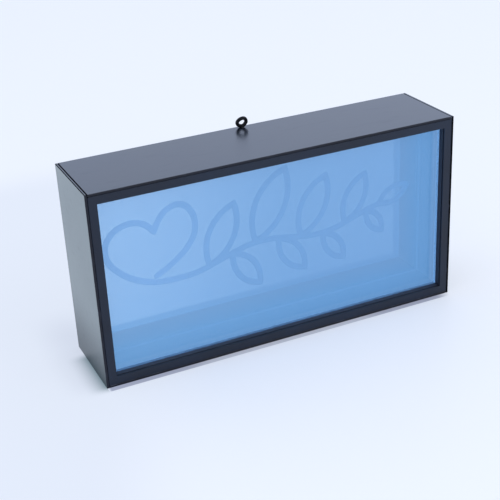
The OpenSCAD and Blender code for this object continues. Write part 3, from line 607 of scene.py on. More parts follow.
@dataclass(frozen=True)
class BoardMask:
    """Green solder mask over copper tracks, with bare sawn edges."""

    name: str = "board_solder_mask"
    mask: Colour = srgb(24, 84, 52)
    tracks: Colour = srgb(44, 118, 72)
    sawn: Colour = srgb(172, 158, 104)
    pitch: Pair = (2.1 * MM, 2.7 * MM)

    def make(self) -> bpy.types.Material:
        """Builds the material.

        Returns:
            The material.
        """
        s = Shader(self.name)
        across, along = (s.place(axis).repeat(step) for axis, step in zip("XZ", self.pitch))
        gate = s.noise(170, 1).over(0.5)
        track = abs(across - 0.5).under(0.13) * gate + abs(along - 0.5).under(0.1) * (1 - gate)
        edge = abs(s.facing("Y")).under(0.5)
        return s.finish({"Base Color": s.blend(edge, s.blend(track, self.mask, self.tracks), self.sawn),
                         "Roughness": 0.3 + 0.35 * edge,
                         "Normal": s.bump(track, 0.035 * MM)})


@dataclass(frozen=True)
class Insulation:
    """Soft drawn insulation of a thin lead."""

    name: str
    colour: Colour

    def make(self) -> bpy.types.Material:
        """Builds the material.

        Returns:
            The material.
        """
        s = Shader(self.name)
        skin = s.noise(900, 3)
        pale = tuple(min(1.0, 1.3 * c + 0.01) for c in self.colour[:3]) + (1.0,)
        return s.finish({"Base Color": s.blend(skin.spread(0.4, 0.8), self.colour, pale),
                         "Roughness": 0.38 + 0.2 * skin, "Normal": s.bump(skin, 0.03 * MM)})


@dataclass(frozen=True)
class InletShell:
    """Tinned shell of the inlet, its dark tongue with a row of gold contacts."""

    centre_x: float
    centre_z: float
    name: str = "inlet_shell"
    tongue_half: Pair = (3.45 * MM, 0.4 * MM)
    contacts_half: float = 2.9 * MM
    contact_pitch: float = 0.5 * MM
    shell: Colour = srgb(206, 208, 212)
    tongue: Colour = srgb(30, 31, 34)
    gold: Colour = srgb(222, 184, 104)

    def make(self) -> bpy.types.Material:
        """Builds the material.

        Returns:
            The material.
        """
        s = Shader(self.name)
        x, z = s.place("X") - self.centre_x, s.place("Z") - self.centre_z
        tongue = abs(x).under(self.tongue_half[0]) * abs(z).under(self.tongue_half[1])
        contact = tongue * abs(x).under(self.contacts_half) * x.repeat(self.contact_pitch).under(0.5)
        return s.finish({"Base Color": s.blend(contact, s.blend(tongue, self.shell, self.tongue), self.gold),
                         "Metallic": 1 - tongue * (1 - contact),
                         "Roughness": 0.22 + 0.12 * s.noise(900, 3)})


# ---------------------------------------------------------------------------------------------
# Shapes
# ---------------------------------------------------------------------------------------------


@dataclass
class Shape:
    """Points, faces and each face's finish number, in metres in the row frame."""

    points: np.ndarray
    faces: list[list[int]]
    marks: list[int]

    def __add__(self, other: "Shape") -> "Shape":
        """Puts both shapes into one.

        Args:
            other: the shape whose points and faces come second.

        Returns:
            The one shape.
        """
        shift = len(self.points)
        moved = [[i + shift for i in face] for face in other.faces]
        return Shape(np.vstack([self.points, other.points]), self.faces + moved, self.marks + other.marks)

    def moved(self, offset: Sequence[float]) -> "Shape":
        """The shape moved by an offset."""
        return Shape(self.points + np.asarray(offset, float), self.faces, self.marks)

    def turned(self, matrix: np.ndarray) -> "Shape":
        """The shape turned by a 3 by 3 matrix."""
        return Shape(self.points @ np.asarray(matrix, float).T, self.faces, self.marks)

    def piece(self, name: str, finishes: Sequence[bpy.types.Material], body: str, slot: str,
              stands_for: Sequence[str] = (), sharp: float = 35.0) -> bpy.types.Object:
        """Makes the shape a Blender piece that rides on a CAD body.

        Doubles are merged, then all faces are turned outwards, and edges sharper than the angle stay sharp.

        Args:
            name: the piece's name.
            finishes: materials, by the faces' finish numbers.
            body: the CAD body it rides on.
            slot: the record's material slot, which is not used.
            stands_for: CAD nodes that it replaces.
            sharp: the angle in degrees past which an edge is shaded sharp.

        Returns:
            The object.
        """
        mesh = bpy.data.meshes.new(name)
        mesh.from_pydata(self.points.tolist(), [], self.faces)
        mesh.polygons.foreach_set("material_index", np.asarray(self.marks, np.int32))
        work = bmesh.new()
        work.from_mesh(mesh)
        bmesh.ops.remove_doubles(work, verts=work.verts, dist=1e-7)
        bmesh.ops.recalc_face_normals(work, faces=work.faces)
        work.to_mesh(mesh)
        work.free()
        mesh.polygons.foreach_set("use_smooth", np.ones(len(mesh.polygons), bool))
        mesh.set_sharp_from_angle(angle=math.radians(sharp))
        for finish in finishes:
            mesh.materials.append(finish)
        piece = bpy.data.objects.new(name, mesh)
        bpy.context.scene.collection.objects.link(piece)
        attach(piece, body)
        if stands_for:
            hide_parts(*stands_for)
        log.info("%s: %d faces on body %s", name, len(mesh.polygons), body)
        return piece


def joined(shapes: Iterable[Shape]) -> Shape:
    """All shapes as one, in their order."""
    return reduce(operator.add, shapes)


def grid(points: np.ndarray, closed_u: bool = False, closed_v: bool = False, caps: bool = False,
         mark: int = 0) -> Shape:
    """Joins a grid of points with quads: point (u, v) to its neighbours at u + 1 and v + 1.

    Args:
        points: an array of shape (u, v, 3).
        closed_u, closed_v: whether the last row or column joins the first.
        caps: whether the first and last rows are closed with one face each.
        mark: the faces' finish number.

    Returns:
        The shape.
    """
    rows, columns = points.shape[:2]
    index = np.arange(rows * columns).reshape(rows, columns)
    ends = [index[0].tolist(), index[-1][::-1].tolist()] if caps else []
    if closed_u:
        index = np.vstack([index, index[:1]])
    if closed_v:
        index = np.hstack([index, index[:, :1]])
    quads = np.stack([index[:-1, :-1], index[1:, :-1], index[1:, 1:], index[:-1, 1:]], axis=-1)
    faces = quads.reshape(-1, 4).tolist() + ends
    return Shape(points.reshape(-1, 3), faces, [mark] * len(faces))


def curve(points: Sequence[Sequence[float]], steps: int) -> np.ndarray:
    """A smooth curve through points.

    On each span from b to c, with neighbours a and d, the place at t is the Catmull-Rom cubic
    (2b + (c - a)t + (2a - 5b + 4c - d)t^2 + (3b - a - 3c + d)t^3) / 2.

    Args:
        points: the points to pass through.
        steps: how many pieces each span is cut into.

    Returns:
        An array of points.
    """
    p = np.asarray(points, float)
    a, b = np.vstack([p[:1], p[:-2]]), p[:-1]
    c, d = p[1:], np.vstack([p[2:], p[-1:]])
    t = (np.arange(steps) / steps)[None, :, None]
    a, b, c, d = (q[:, None, :] for q in (a, b, c, d))
    spans = 0.5 * (2 * b + (c - a) * t + (2 * a - 5 * b + 4 * c - d) * t ** 2
                   + (3 * b - a - 3 * c + d) * t ** 3)
    return np.vstack([spans.reshape(-1, p.shape[1]), p[-1:]])


def directions(path: np.ndarray) -> np.ndarray:
    """Unit steps along a path, each from its two neighbours."""
    step = np.gradient(path, axis=0)
    return step / np.linalg.norm(step, axis=1, keepdims=True)


def rounded(path: np.ndarray, radius: float, start: int, end: int) -> tuple[np.ndarray, np.ndarray, np.ndarray]:
    """Rounds the ends of a path: the sizes shrink by the cosine while the places step out by the sine.

    Args:
        path: its points.
        radius: the size along the path.
        start, end: steps in each rounded end, none where the path is cut off square.

    Returns:
        The places, the directions and the sizes there.
    """
    d = directions(path)
    first, last = (np.linspace(math.pi / 2, 0, steps, endpoint=False) for steps in (start, end))
    before = path[0] - d[0] * radius * np.sin(first)[:, None]
    after = path[-1] + d[-1] * radius * np.sin(last[::-1])[:, None]
    return (np.vstack([before, path, after]),
            np.vstack([np.repeat(d[:1], start, 0), d, np.repeat(d[-1:], end, 0)]),
            radius * np.concatenate([np.cos(first), np.ones(len(path)), np.cos(last[::-1])]))


def tube(path: np.ndarray, radius: float, sides: int, reference: Sequence[float], dome: int = 4,
         mark: int = 0) -> Shape:
    """A round tube along a path, with domed ends.

    The ring at a place is radius * (cos(b) u + sin(b) v), where u is the path's direction crossed with the
    reference and v completes the frame.

    Args:
        path: points in the row frame.
        radius: the tube's radius.
        sides: points round a ring.
        reference: a direction that the path never runs along.
        dome: rings in each domed end.
        mark: the faces' finish number.

    Returns:
        The shape.
    """
    centres, ways, sizes = rounded(path, radius, dome, dome)
    u = np.cross(ways, np.asarray(reference, float))
    u /= np.linalg.norm(u, axis=1, keepdims=True)
    v = np.cross(ways, u)
    b = np.linspace(0, 2 * math.pi, sides, endpoint=False)[None, :, None]
    rings = centres[:, None] + sizes[:, None, None] * (np.cos(b) * u[:, None] + np.sin(b) * v[:, None])
    return grid(rings, closed_v=True, caps=True, mark=mark)


def lathe(profile: Sequence[Pair], sides: int, marks: Sequence[int] | None = None) -> Shape:
    """Turns a profile of (radius, height) pairs about Z: the point at angle a is (r cos a, r sin a, h).

    Args:
        profile: pairs from the foot of the axis to its top.
        sides: points round a ring.
        marks: a finish number for each band between two pairs.

    Returns:
        The shape, closed where the profile starts and ends on the axis.
    """
    pairs = np.asarray(profile, float)
    a = np.linspace(0, 2 * math.pi, sides, endpoint=False)
    rings = np.stack([np.outer(pairs[:, 0], np.cos(a)), np.outer(pairs[:, 0], np.sin(a)),
                      np.repeat(pairs[:, 1:], sides, 1)], axis=-1)
    shape = grid(rings, closed_v=True)
    if marks is not None:
        shape.marks = np.repeat(np.asarray(marks), sides).tolist()
    return shape


def loft(sections: Sequence[tuple[float, float, float, float]], corner_steps: int = 3,
         marks: Sequence[int] | None = None) -> Shape:
    """Stacks rounded rectangles along Z and skins them.

    A corner at angle a stands at (w/2 - r + r cos a, h/2 - r + r sin a), mirrored into the four quarters.

    Args:
        sections: (width, height, corner radius, z) of each rectangle.
        corner_steps: pieces in a corner.
        marks: a finish number for each band, and one more for both end faces.

    Returns:
        The closed shape.
    """
    rings = []
    for width, height, radius, z in sections:
        a = np.linspace(0, math.pi / 2, corner_steps + 1)
        quarters = []
        for turn, (sx, sy) in enumerate(((1, 1), (-1, 1), (-1, -1), (1, -1))):
            angle = a + turn * math.pi / 2
            quarters.append(np.stack([sx * (width / 2 - radius) + radius * np.cos(angle),
                                      sy * (height / 2 - radius) + radius * np.sin(angle),
                                      np.full_like(a, z)], axis=-1))
        rings.append(np.vstack(quarters))
    shape = grid(np.stack(rings), closed_v=True, caps=True)
    if marks is not None:
        band = len(rings[0])
        shape.marks = np.repeat(np.asarray(marks[:-1]), band).tolist() + [marks[-1]] * 2
    return shape


def border(width: float, height: float, centre_z: float, section: Sequence[Pair],
           pieces: int = 24) -> Shape:
    """Carries a section round an upright rectangle with mitred corners.

    A section point (inset, y) stands inset from the rectangle's edge at depth y, on every side.

    Args:
        width, height: the rectangle.
        centre_z: the height of its centre.
        section: the closed section's (inset, y) points.
        pieces: how many pieces each side is cut into.

    Returns:
        The closed ring.
    """
    t = np.linspace(-1, 1, pieces, endpoint=False)
    one = np.ones_like(t)
    x = np.concatenate([t, one, -t, -one])
    z = np.concatenate([-one, t, one, -t])
    insets, depths = np.asarray(section, float).T
    px = x[:, None] * (width / 2 - insets)[None]
    pz = centre_z + z[:, None] * (height / 2 - insets)[None]
    py = np.broadcast_to(depths[None], px.shape)
    return grid(np.stack([px, py, pz], axis=-1), closed_u=True, closed_v=True)


SIDES = ("top", "bottom", "left", "right")
UP_TO_BACK = np.array([[1, 0, 0], [0, 0, 1], [0, -1, 0]], float)   # turns +Z to +Y
UP_TO_FRONT = np.array([[1, 0, 0], [0, 0, -1], [0, 1, 0]], float)  # turns +Z to -Y


def dress(finish: bpy.types.Material, *nodes: str) -> None:
    """Gives CAD nodes a finish through their objects' material slots.

    Args:
        finish: the material.
        nodes: the nodes' names.
    """
    for node in nodes:
        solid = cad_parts[node]
        if not solid.material_slots:
            solid.data.materials.append(finish)
        for slot in solid.material_slots:
            slot.material = finish
        log.info("%s: %s", node, finish.name)


# ---------------------------------------------------------------------------------------------
# Sub-assemblies
# ---------------------------------------------------------------------------------------------


@dataclass
class CaseSheets:
    """The four sheets and the bezel plate."""

    sheet: SatinSheet = SatinSheet("case_sheet", srgb(10, 15, 28), srgb(60, 66, 80))
    bezel: SatinSheet = SatinSheet("bezel_plate", srgb(8, 22, 40), srgb(26, 33, 48), 0.3, 1.42, 0.0, cut_ior=1.45,
                                   foot=0.0)

    def build(self) -> None:
        """Dresses the sheets."""
        dress(self.sheet.make(), "left_end_panel", "right_end_panel", "top_panel", "bottom_panel")
        dress(self.bezel.make(), "front_bezel")


@dataclass
class HangingEye:
    """A ring of wire on a shank, open beside it."""

    x: float = -1 * MM
    y: float = 30.6 * MM
    lean: float = 1.2 * MM
    ring_z: float = 159.15 * MM
    ring_radii: Triple = (3.65 * MM, 3.25 * MM, 3.05 * MM)
    sweep: Pair = (-84.0, 264.0)
    pinches: Pair = (0.12, 0.42)
    wire_radius: float = 1.42 * MM
    shank_radius: float = 1.2 * MM
    shank_foot: float = 149.0 * MM
    twist: float = 0.7 * MM
    crown: float = 0.9 * MM

    def build(self) -> None:
        """Makes the ring and its shank in the place of the CAD eye.

        With c = cos a and t = sin a, the wire's middle runs over the sweep of a, in degrees, through
        x = rx c (1 - pinch max(0, -t)) + crown max(0, t)^2, with a pinch for each side, z = rz t with its own rz
        below the middle, and y = lean - twist cos(a / 2), so that the wire's end laps the shank and the ring leans.
        """
        a = np.radians(np.linspace(*self.sweep, 72))
        c, t = np.cos(a), np.sin(a)
        rx, upper, lower = self.ring_radii
        pinch = np.where(c < 0, *self.pinches) * np.maximum(0, -t)
        ring = np.stack([self.x + rx * c * (1 - pinch) + self.crown * np.maximum(0, t) ** 2,
                         self.y + self.lean - self.twist * np.cos(a / 2),
                         self.ring_z + np.where(t > 0, upper, lower) * t], axis=-1)
        r, top = self.shank_radius, self.ring_z - lower
        shank = lathe([(0, self.shank_foot), (r - 0.4 * MM, self.shank_foot), (r, self.shank_foot + 0.5 * MM),
                       (r, top - 1.3 * MM), (r - 0.2 * MM, top - 0.7 * MM), (r - 0.5 * MM, top - 0.3 * MM),
                       (0, top - 0.3 * MM)], 32).moved((self.x, self.y, 0))
        eye = tube(ring, self.wire_radius, 24, (0, 1, 0), 6) + shank
        eye.piece("wire_eye", [EyeLacquer().make()], "case", "eye_wire", ["hanging_eye"])


@dataclass
class Front:
    """Window retainer, window tape and the one-way window."""

    tape_outer: Pair = (295.4 * MM, 150.9 * MM)
    tape_inner_w: float = 282.4 * MM
    tape_front: float = -29.1 * MM
    tape_t: float = 0.6 * MM
    centre_z: float = 77.5 * MM

    def build(self) -> None:
        """Dresses the retainer and the window, and makes the foam tape."""
        dress(MouldedPlastic("retainer_plastic", srgb(38, 40, 52), 0.55).make(), "window_retainer")
        dress(WindowFilm().make(), "one_way_window")
        inset = (self.tape_outer[0] - self.tape_inner_w) / 2
        a = np.linspace(-math.pi / 2, math.pi / 2, 9)
        r = self.tape_t / 2
        middle = self.tape_front + r
        nose = [(inset - r + r * math.cos(b), middle + r * math.sin(b)) for b in a]
        section = [(0.0, self.tape_front), *nose, (0.0, self.tape_front + self.tape_t)]
        foam = ClosedFoam("dark_foam", srgb(52, 66, 100)).make()
        border(*self.tape_outer, self.centre_z, section).piece(
            "foam_tape_front", [foam], "case", "dark_foam", ["window_tape"])


@dataclass
class LightChamber:
    """Channel rails, foam, mirror and the light lines in it."""

    outer: Pair = (295.4 * MM, 150.4 * MM)
    inner_w: float = 283.2 * MM
    foam_front: float = -1.6 * MM
    foam_back: float = 1.5 * MM
    foam_waist: float = 0.18 * MM
    mirror_y: float = 1.5 * MM
    centre_z: float = 77.5 * MM
    line_w: float = 5.1 * MM
    line_depth: float = 0.8 * MM
    line_gap: float = 0.05 * MM
    line_proud: float = 0.03 * MM
    line_face: tuple[Pair, ...] = (
        (-1, 0.06), (-0.95, 0.0), (-0.5, -0.01), (0, -0.012), (0.5, -0.01), (0.95, 0.0), (1, 0.06))
    heart_right: tuple[Pair, ...] = (
        (-91, -15), (-79, -8.5), (-66.5, 1), (-58.5, 12.5), (-57.5, 25), (-62.5, 35.5), (-71, 39.5),
        (-81, 36), (-87, 29), (-90.5, 22))
    heart_left: tuple[Pair, ...] = (
        (-90.5, 22), (-98, 29.5), (-109, 32.5), (-122, 28.5), (-129.5, 17), (-127, 3), (-114, -10.5),
        (-97, -19), (-81, -21.4), (-66, -21.4))
    stem_from: float = -66.0
    stem_to: float = 104.0
    stem_gap: float = 0.2
    stem_low: float = -21.4
    stem_wave: float = 118.0
    stem_swing: float = 5.0
    stem_rise: float = 0.07
    leaf_from: float = -48.0
    leaf_pitch: float = 20.0
    leaf_count: int = 8
    leaf_l: float = 62.0
    leaf_share: float = 0.42
    leaf_leans: Pair = (64.0, -54.0)
    leaf_down_share: float = 0.66
    leaf_taper: float = 0.08
    leaf_longest: int = 2
    leaf_root: float = 1.2
    tip_leaf: Pair = (28.0, 24.0)

    def stem_z(self, x: np.ndarray | float) -> np.ndarray | float:
        """The stem's height: a raised cosine wave on a gentle slope."""
        turn = 2 * math.pi * (x - self.stem_from) / self.stem_wave
        return self.stem_low + self.stem_swing * (1 - np.cos(turn)) + self.stem_rise * (x - self.stem_from)

    def line(self, path: np.ndarray, start: int = 8, end: int = 8) -> Shape:
        """A light line of even width along a flat path.

        Across the line line_face runs from -1 to 1, with the depth there in millimetres behind the line's front.

        Args:
            path: points in millimetres from the window's middle.
            start, end: steps in each rounded end, none for a square one.

        Returns:
            The closed line.
        """
        centres, ways, half = rounded(path * MM, self.line_w / 2, start, end)
        side = np.stack([-ways[:, 1], ways[:, 0]], axis=-1)
        back = self.mirror_y + self.line_depth - self.line_gap
        face = self.mirror_y - self.line_proud + np.array([depth for _, depth in self.line_face]) * MM
        across = np.array([-1, *(place for place, _ in self.line_face), 1])
        depth = np.concatenate([[back], face, [back]])
        flat_points = centres[:, None] + half[:, None, None] * across[None, :, None] * side[:, None]
        y = np.broadcast_to(depth[None], flat_points.shape[:2])
        points = np.stack([flat_points[..., 0], y, self.centre_z + flat_points[..., 1]], axis=-1)
        return grid(points, closed_v=True, caps=True)

    def leaf(self, x: float, lean: float, length: float) -> Shape:
        """A leaf that grows from the stem: two lines on circular arcs that meet in its point.

        An arc over the length l rises by h in its middle, so its radius is (l^2 / 4 + h^2) / 2h.

        Args:
            x: where its root stands on the stem, in millimetres.
            lean: the angle of its middle from the X axis, in degrees.
            length: from its root to its point, in millimetres.

        Returns:
            Both lines.
        """
        rise = length * self.leaf_share / 2
        radius = (length ** 2 / 4 + rise ** 2) / (2 * rise)
        half = math.asin(length / 2 / radius)
        a = np.linspace(math.pi / 2 + half, math.pi / 2 - half, 40)
        arc = np.stack([length / 2 + radius * np.cos(a), rise - radius + radius * np.sin(a)], axis=-1)
        arc[:, 0] += self.leaf_root
        c, s = math.cos(math.radians(lean)), math.sin(math.radians(lean))
        turn = np.array([[c, -s], [s, c]])
        root = np.array([x, float(self.stem_z(x))])
        return self.line(arc @ turn.T + root) + self.line((arc * [1, -1]) @ turn.T + root)

    def vine(self) -> Shape:
        """The stem with its leaves, up and down by turns, and one more at its tip.

        Returns:
            All of its lines.
        """
        x = np.linspace(self.stem_from + self.stem_gap, self.stem_to, 140)
        lines = [self.line(np.stack([x, self.stem_z(x)], axis=-1), start=0)]
        for i in range(self.leaf_count):
            up = i % 2 == 0
            length = self.leaf_l * (1 - self.leaf_taper * abs(i - self.leaf_longest))
            length *= 1 if up else self.leaf_down_share
            lines.append(self.leaf(self.leaf_from + i * self.leaf_pitch, self.leaf_leans[0 if up else 1], length))
        return joined([*lines, self.leaf(self.stem_to, self.tip_leaf[1], self.tip_leaf[0])])

    def build(self) -> None:
        """Dresses the rails, mirror and diffuser, and makes the foam and the light lines."""
        dress(MouldedPlastic("chamber_plastic", srgb(40, 48, 66), 0.4, 1500, 0.02).make(),
              *(f"chamber_{side}_rail" for side in SIDES))
        dress(Silvering().make(), "mirror_panel")
        dress(MouldedPlastic("opal_sheet", srgb(240, 242, 243), 0.4, 900, 0.004).make(), "light_diffuser")
        inset = (self.outer[0] - self.inner_w) / 2
        t = np.linspace(0, 1, 9)
        waist = [(inset - self.foam_waist * math.sin(math.pi * u),
                  self.foam_front + u * (self.foam_back - self.foam_front)) for u in t]
        foam = ClosedFoam("pale_foam", srgb(102, 120, 142)).make()
        border(*self.outer, self.centre_z, [(0.0, self.foam_front), *waist, (0.0, self.foam_back)]).piece(
            "foam_strip_mirror", [foam], "case", "white_foam", ["mirror_foam"])
        frost = FrostedLine().make()
        heart = self.line(curve(self.heart_right, 16)) + self.line(curve(self.heart_left, 16), end=0)
        heart.piece("heart_line", [frost], "case", "light_line", ["heart_light_line"], 60)
        self.vine().piece("vine_line", [frost], "case", "light_line", ["vine_light_line"], 60)


@dataclass
class RearFrame:
    """Rear rails, lamp plate with its strip and screws, and the lamps."""

    lamp_y: float = 11.25 * MM
    lamp_size: Triple = (3.5 * MM, 2.8 * MM, 1.5 * MM)
    rows: int = 4
    per_row: int = 10
    view: Pair = (283.2 * MM, 138.2 * MM)
    strip_margin: float = 12 * MM
    bus_w: float = 7 * MM
    centre_z: float = 77.5 * MM

    def lamp(self) -> Shape:
        """One lamp on its back: a white case with a sloped rim round a domed phosphor.

        Returns:
            The lamp.
        """
        w, h, t = self.lamp_size
        return loft([(w, h, 0.15 * MM, 0.0), (w, h, 0.15 * MM, 0.86 * t), (w - 0.3 * MM, h - 0.3 * MM, 0.3 * MM, t),
                     (w - 0.8 * MM, h - 0.7 * MM, 0.6 * MM, t), (w - 1.2 * MM, h - 1.0 * MM, 0.7 * MM, 0.78 * t),
                     (w - 2.0 * MM, h - 1.8 * MM, 0.4 * MM, 0.84 * t)], 2, [0, 0, 0, 0, 1, 1])

    def build(self) -> None:
        """Dresses the frame and makes the lamps."""
        dress(MouldedPlastic("frame_plastic", srgb(30, 32, 36), 0.55).make(),
              *(f"rear_{side}_rail" for side in SIDES))
        dress(MouldedPlastic("white_plate", srgb(232, 235, 238), 0.6, 800, 0.01).make(), "lamp_plate")
        dress(MouldedPlastic("strip_film", srgb(238, 238, 230), 0.35, 1600, 0.004).make(), "lamp_strip")
        dress(BareMetal("zinc_screw", srgb(198, 200, 204), 0.32).make(), "lamp_plate_screws")
        case = MouldedPlastic("lamp_case", srgb(240, 240, 236), 0.4, 3000, 0.003).make()
        phosphor = MouldedPlastic("lamp_phosphor", srgb(236, 204, 92), 0.3, 4000, 0.006,
                                  srgb(255, 226, 130), 0.25).make()
        step = (self.view[0] - 2 * self.strip_margin - 2 * self.bus_w) / self.per_row
        one = self.lamp().turned(UP_TO_FRONT)
        heights = [self.centre_z - self.view[1] / 2 + (i + 0.5) * self.view[1] / self.rows for i in range(self.rows)]
        lamps = joined(one.moved(((k - (self.per_row - 1) / 2) * step, self.lamp_y, z))
                       for z in heights for k in range(self.per_row))
        lamps.piece("lamp_row", [case, phosphor], "case", "lamp_body", ["lamps"])


@dataclass
class Bay:
    """Battery housing, cells, springs and contacts."""

    centre_x: float = -62 * MM
    centre_z: float = 68 * MM
    cell_y: float = 23.6 * MM
    pitch: float = 14.9 * MM
    count: int = 4
    cell_r: float = 7.1 * MM
    cell_l: float = 49.3 * MM
    cap_r: float = 2.7 * MM
    cap_h: float = 1.2 * MM
    bay_l: float = 57.0 * MM
    contact_t: float = 0.4 * MM
    spring_l: float = 5.6 * MM
    spring_radii: Pair = (4.3 * MM, 2.8 * MM)
    spring_wire: float = 0.4 * MM
    spring_turns: int = 4

    def cell(self) -> Shape:
        """One cell on its flat end: bare rolled ends, a plain jacket, a shoulder with a washer and its cap.

        Returns:
            The cell.
        """
        r, l, c = self.cell_r, self.cell_l, self.cap_r
        profile = [(0, 0), (r - 1.6 * MM, 0), (r - 1.5 * MM, 0.12 * MM), (r - 0.8 * MM, 0.12 * MM),
                   (r - 0.35 * MM, 0.2 * MM), (r - 0.12 * MM, 0.5 * MM), (r, 0.62 * MM), (r, 0.7 * MM),
                   (r, 0.36 * l), (r, 0.37 * l), (r, l - 0.9 * MM), (r - 0.12 * MM, l - 0.45 * MM),
                   (r - 0.5 * MM, l - 0.16 * MM), (r - 1.0 * MM, l - 0.08 * MM), (r - 1.3 * MM, l - 0.25 * MM),
                   (c + 0.5 * MM, l - 0.25 * MM), (c, l - 0.1 * MM), (c, l + self.cap_h - 0.35 * MM),
                   (c - 0.3 * MM, l + self.cap_h), (0, l + self.cap_h)]
        marks = [2, 2, 2, 2, 2, 2, 0, 0, 0, 1, 1, 1, 1, 3, 3, 2, 2, 2, 2]
        return lathe(profile, 48, marks)

    def spring(self) -> Shape:
        """A conical coil on its wide end: radius and height run evenly with the angle.

        Returns:
            The spring.
        """
        u = np.linspace(0, 1, 36 * self.spring_turns + 1)
        a = 2 * math.pi * self.spring_turns * u
        r = self.spring_radii[0] + (self.spring_radii[1] - self.spring_radii[0]) * u
        z = self.spring_wire + (self.spring_l - 2 * self.spring_wire) * u
        path = np.stack([r * np.cos(a), r * np.sin(a), z], axis=-1)
        return tube(path, self.spring_wire, 10, (0, 0, 1), 3)

    def row(self, one: Shape, foot: float) -> Shape:
        """Sets a shape into each trough, every second one end for end.

        Args:
            one: the shape on its foot.
            foot: the height of its foot above the bay's middle.

        Returns:
            All of them.
        """
        turns = (np.eye(3), np.diag([1.0, -1.0, -1.0]))
        return joined(one.moved((0, 0, foot)).turned(turns[i % 2]).moved(
            (self.centre_x + (i - (self.count - 1) / 2) * self.pitch, self.cell_y, self.centre_z))
            for i in range(self.count))

    def build(self) -> None:
        """Dresses the housing and contacts, and makes the cells and springs."""
        dress(MouldedPlastic("bay_plastic", srgb(28, 30, 34), 0.5).make(), "battery_housing")
        dress(BareMetal("plated_contact", srgb(214, 214, 210), 0.24, Lay.ALONG_X).make(), "battery_contacts")
        jacket = MouldedPlastic("cell_jacket", srgb(30, 32, 38), 0.28, 2200, 0.003).make()
        shoulder = BareMetal("cell_shoulder", srgb(206, 150, 84), 0.3, Lay.ALONG_Z, 0.75).make()
        steel = BareMetal("cell_end_steel", srgb(206, 207, 208), 0.28).make()
        washer = MouldedPlastic("cell_washer", srgb(206, 200, 186), 0.5).make()
        foot = self.contact_t - self.bay_l / 2
        self.row(self.cell(), foot + self.spring_l).piece(
            "cells_in_bay", [jacket, shoulder, steel, washer], "case", "cell_jacket", ["battery_cells"])
        wire = BareMetal("spring_wire", srgb(208, 209, 210), 0.2).make()
        self.row(self.spring(), foot).piece("contact_coils", [wire], "case", "spring_steel", ["battery_springs"], 60)


@dataclass
class Back:
    """Back cover with its screws, battery door, switch slider, inlet and the two plain switch marks."""

    switch_x: float = 42 * MM
    inlet_x: float = 63 * MM
    board_z: float = 56 * MM
    face_y: float = 33 * MM
    mark_offset: float = 10.4 * MM
    mark_h: float = 0.12 * MM
    mark_sink: float = 0.05 * MM
    circle_radii: Pair = (0.85 * MM, 1.25 * MM)
    bar_size: Pair = (0.42 * MM, 2.5 * MM)

    def build(self) -> None:
        """Dresses the back and makes the raised ring and bar beside the switch."""
        dress(MouldedPlastic("cover_plastic", srgb(30, 32, 37), 0.46, 1250, 0.05).make(), "back_cover")
        dress(MouldedPlastic("door_plastic", srgb(32, 34, 39), 0.44, 1250, 0.05).make(), "battery_door")
        dress(BareMetal("blackened_screw", srgb(74, 77, 82), 0.36).make(), "cover_screws")
        dress(MouldedPlastic("slider_plastic", srgb(206, 209, 214), 0.42, 1800, 0.015).make(), "switch_slider")
        dress(InletShell(self.inlet_x, self.board_z).make(), "usb_inlet")
        ink = MouldedPlastic("raised_mark", srgb(196, 199, 204), 0.5, 2000, 0.004).make()
        a = np.linspace(0, 2 * math.pi, 48, endpoint=False)
        (inner, outer), low, high = self.circle_radii, -self.mark_sink, self.mark_h
        radii, depths = np.array([(inner, low), (inner, high), (outer, high), (outer, low)]).T
        points = np.stack([np.outer(np.cos(a), radii), np.outer(np.sin(a), radii),
                           np.broadcast_to(depths, (len(a), len(depths)))], axis=-1)
        circle = grid(points, closed_u=True, closed_v=True)
        bar = loft([(*self.bar_size, 0.1 * MM, z) for z in (low, high)])
        joined(mark.turned(UP_TO_BACK).moved((self.switch_x + side * self.mark_offset, self.face_y, self.board_z))
               for mark, side in ((circle, -1), (bar, 1))).piece("switch_marks", [ink], "case", "cover_plastic")


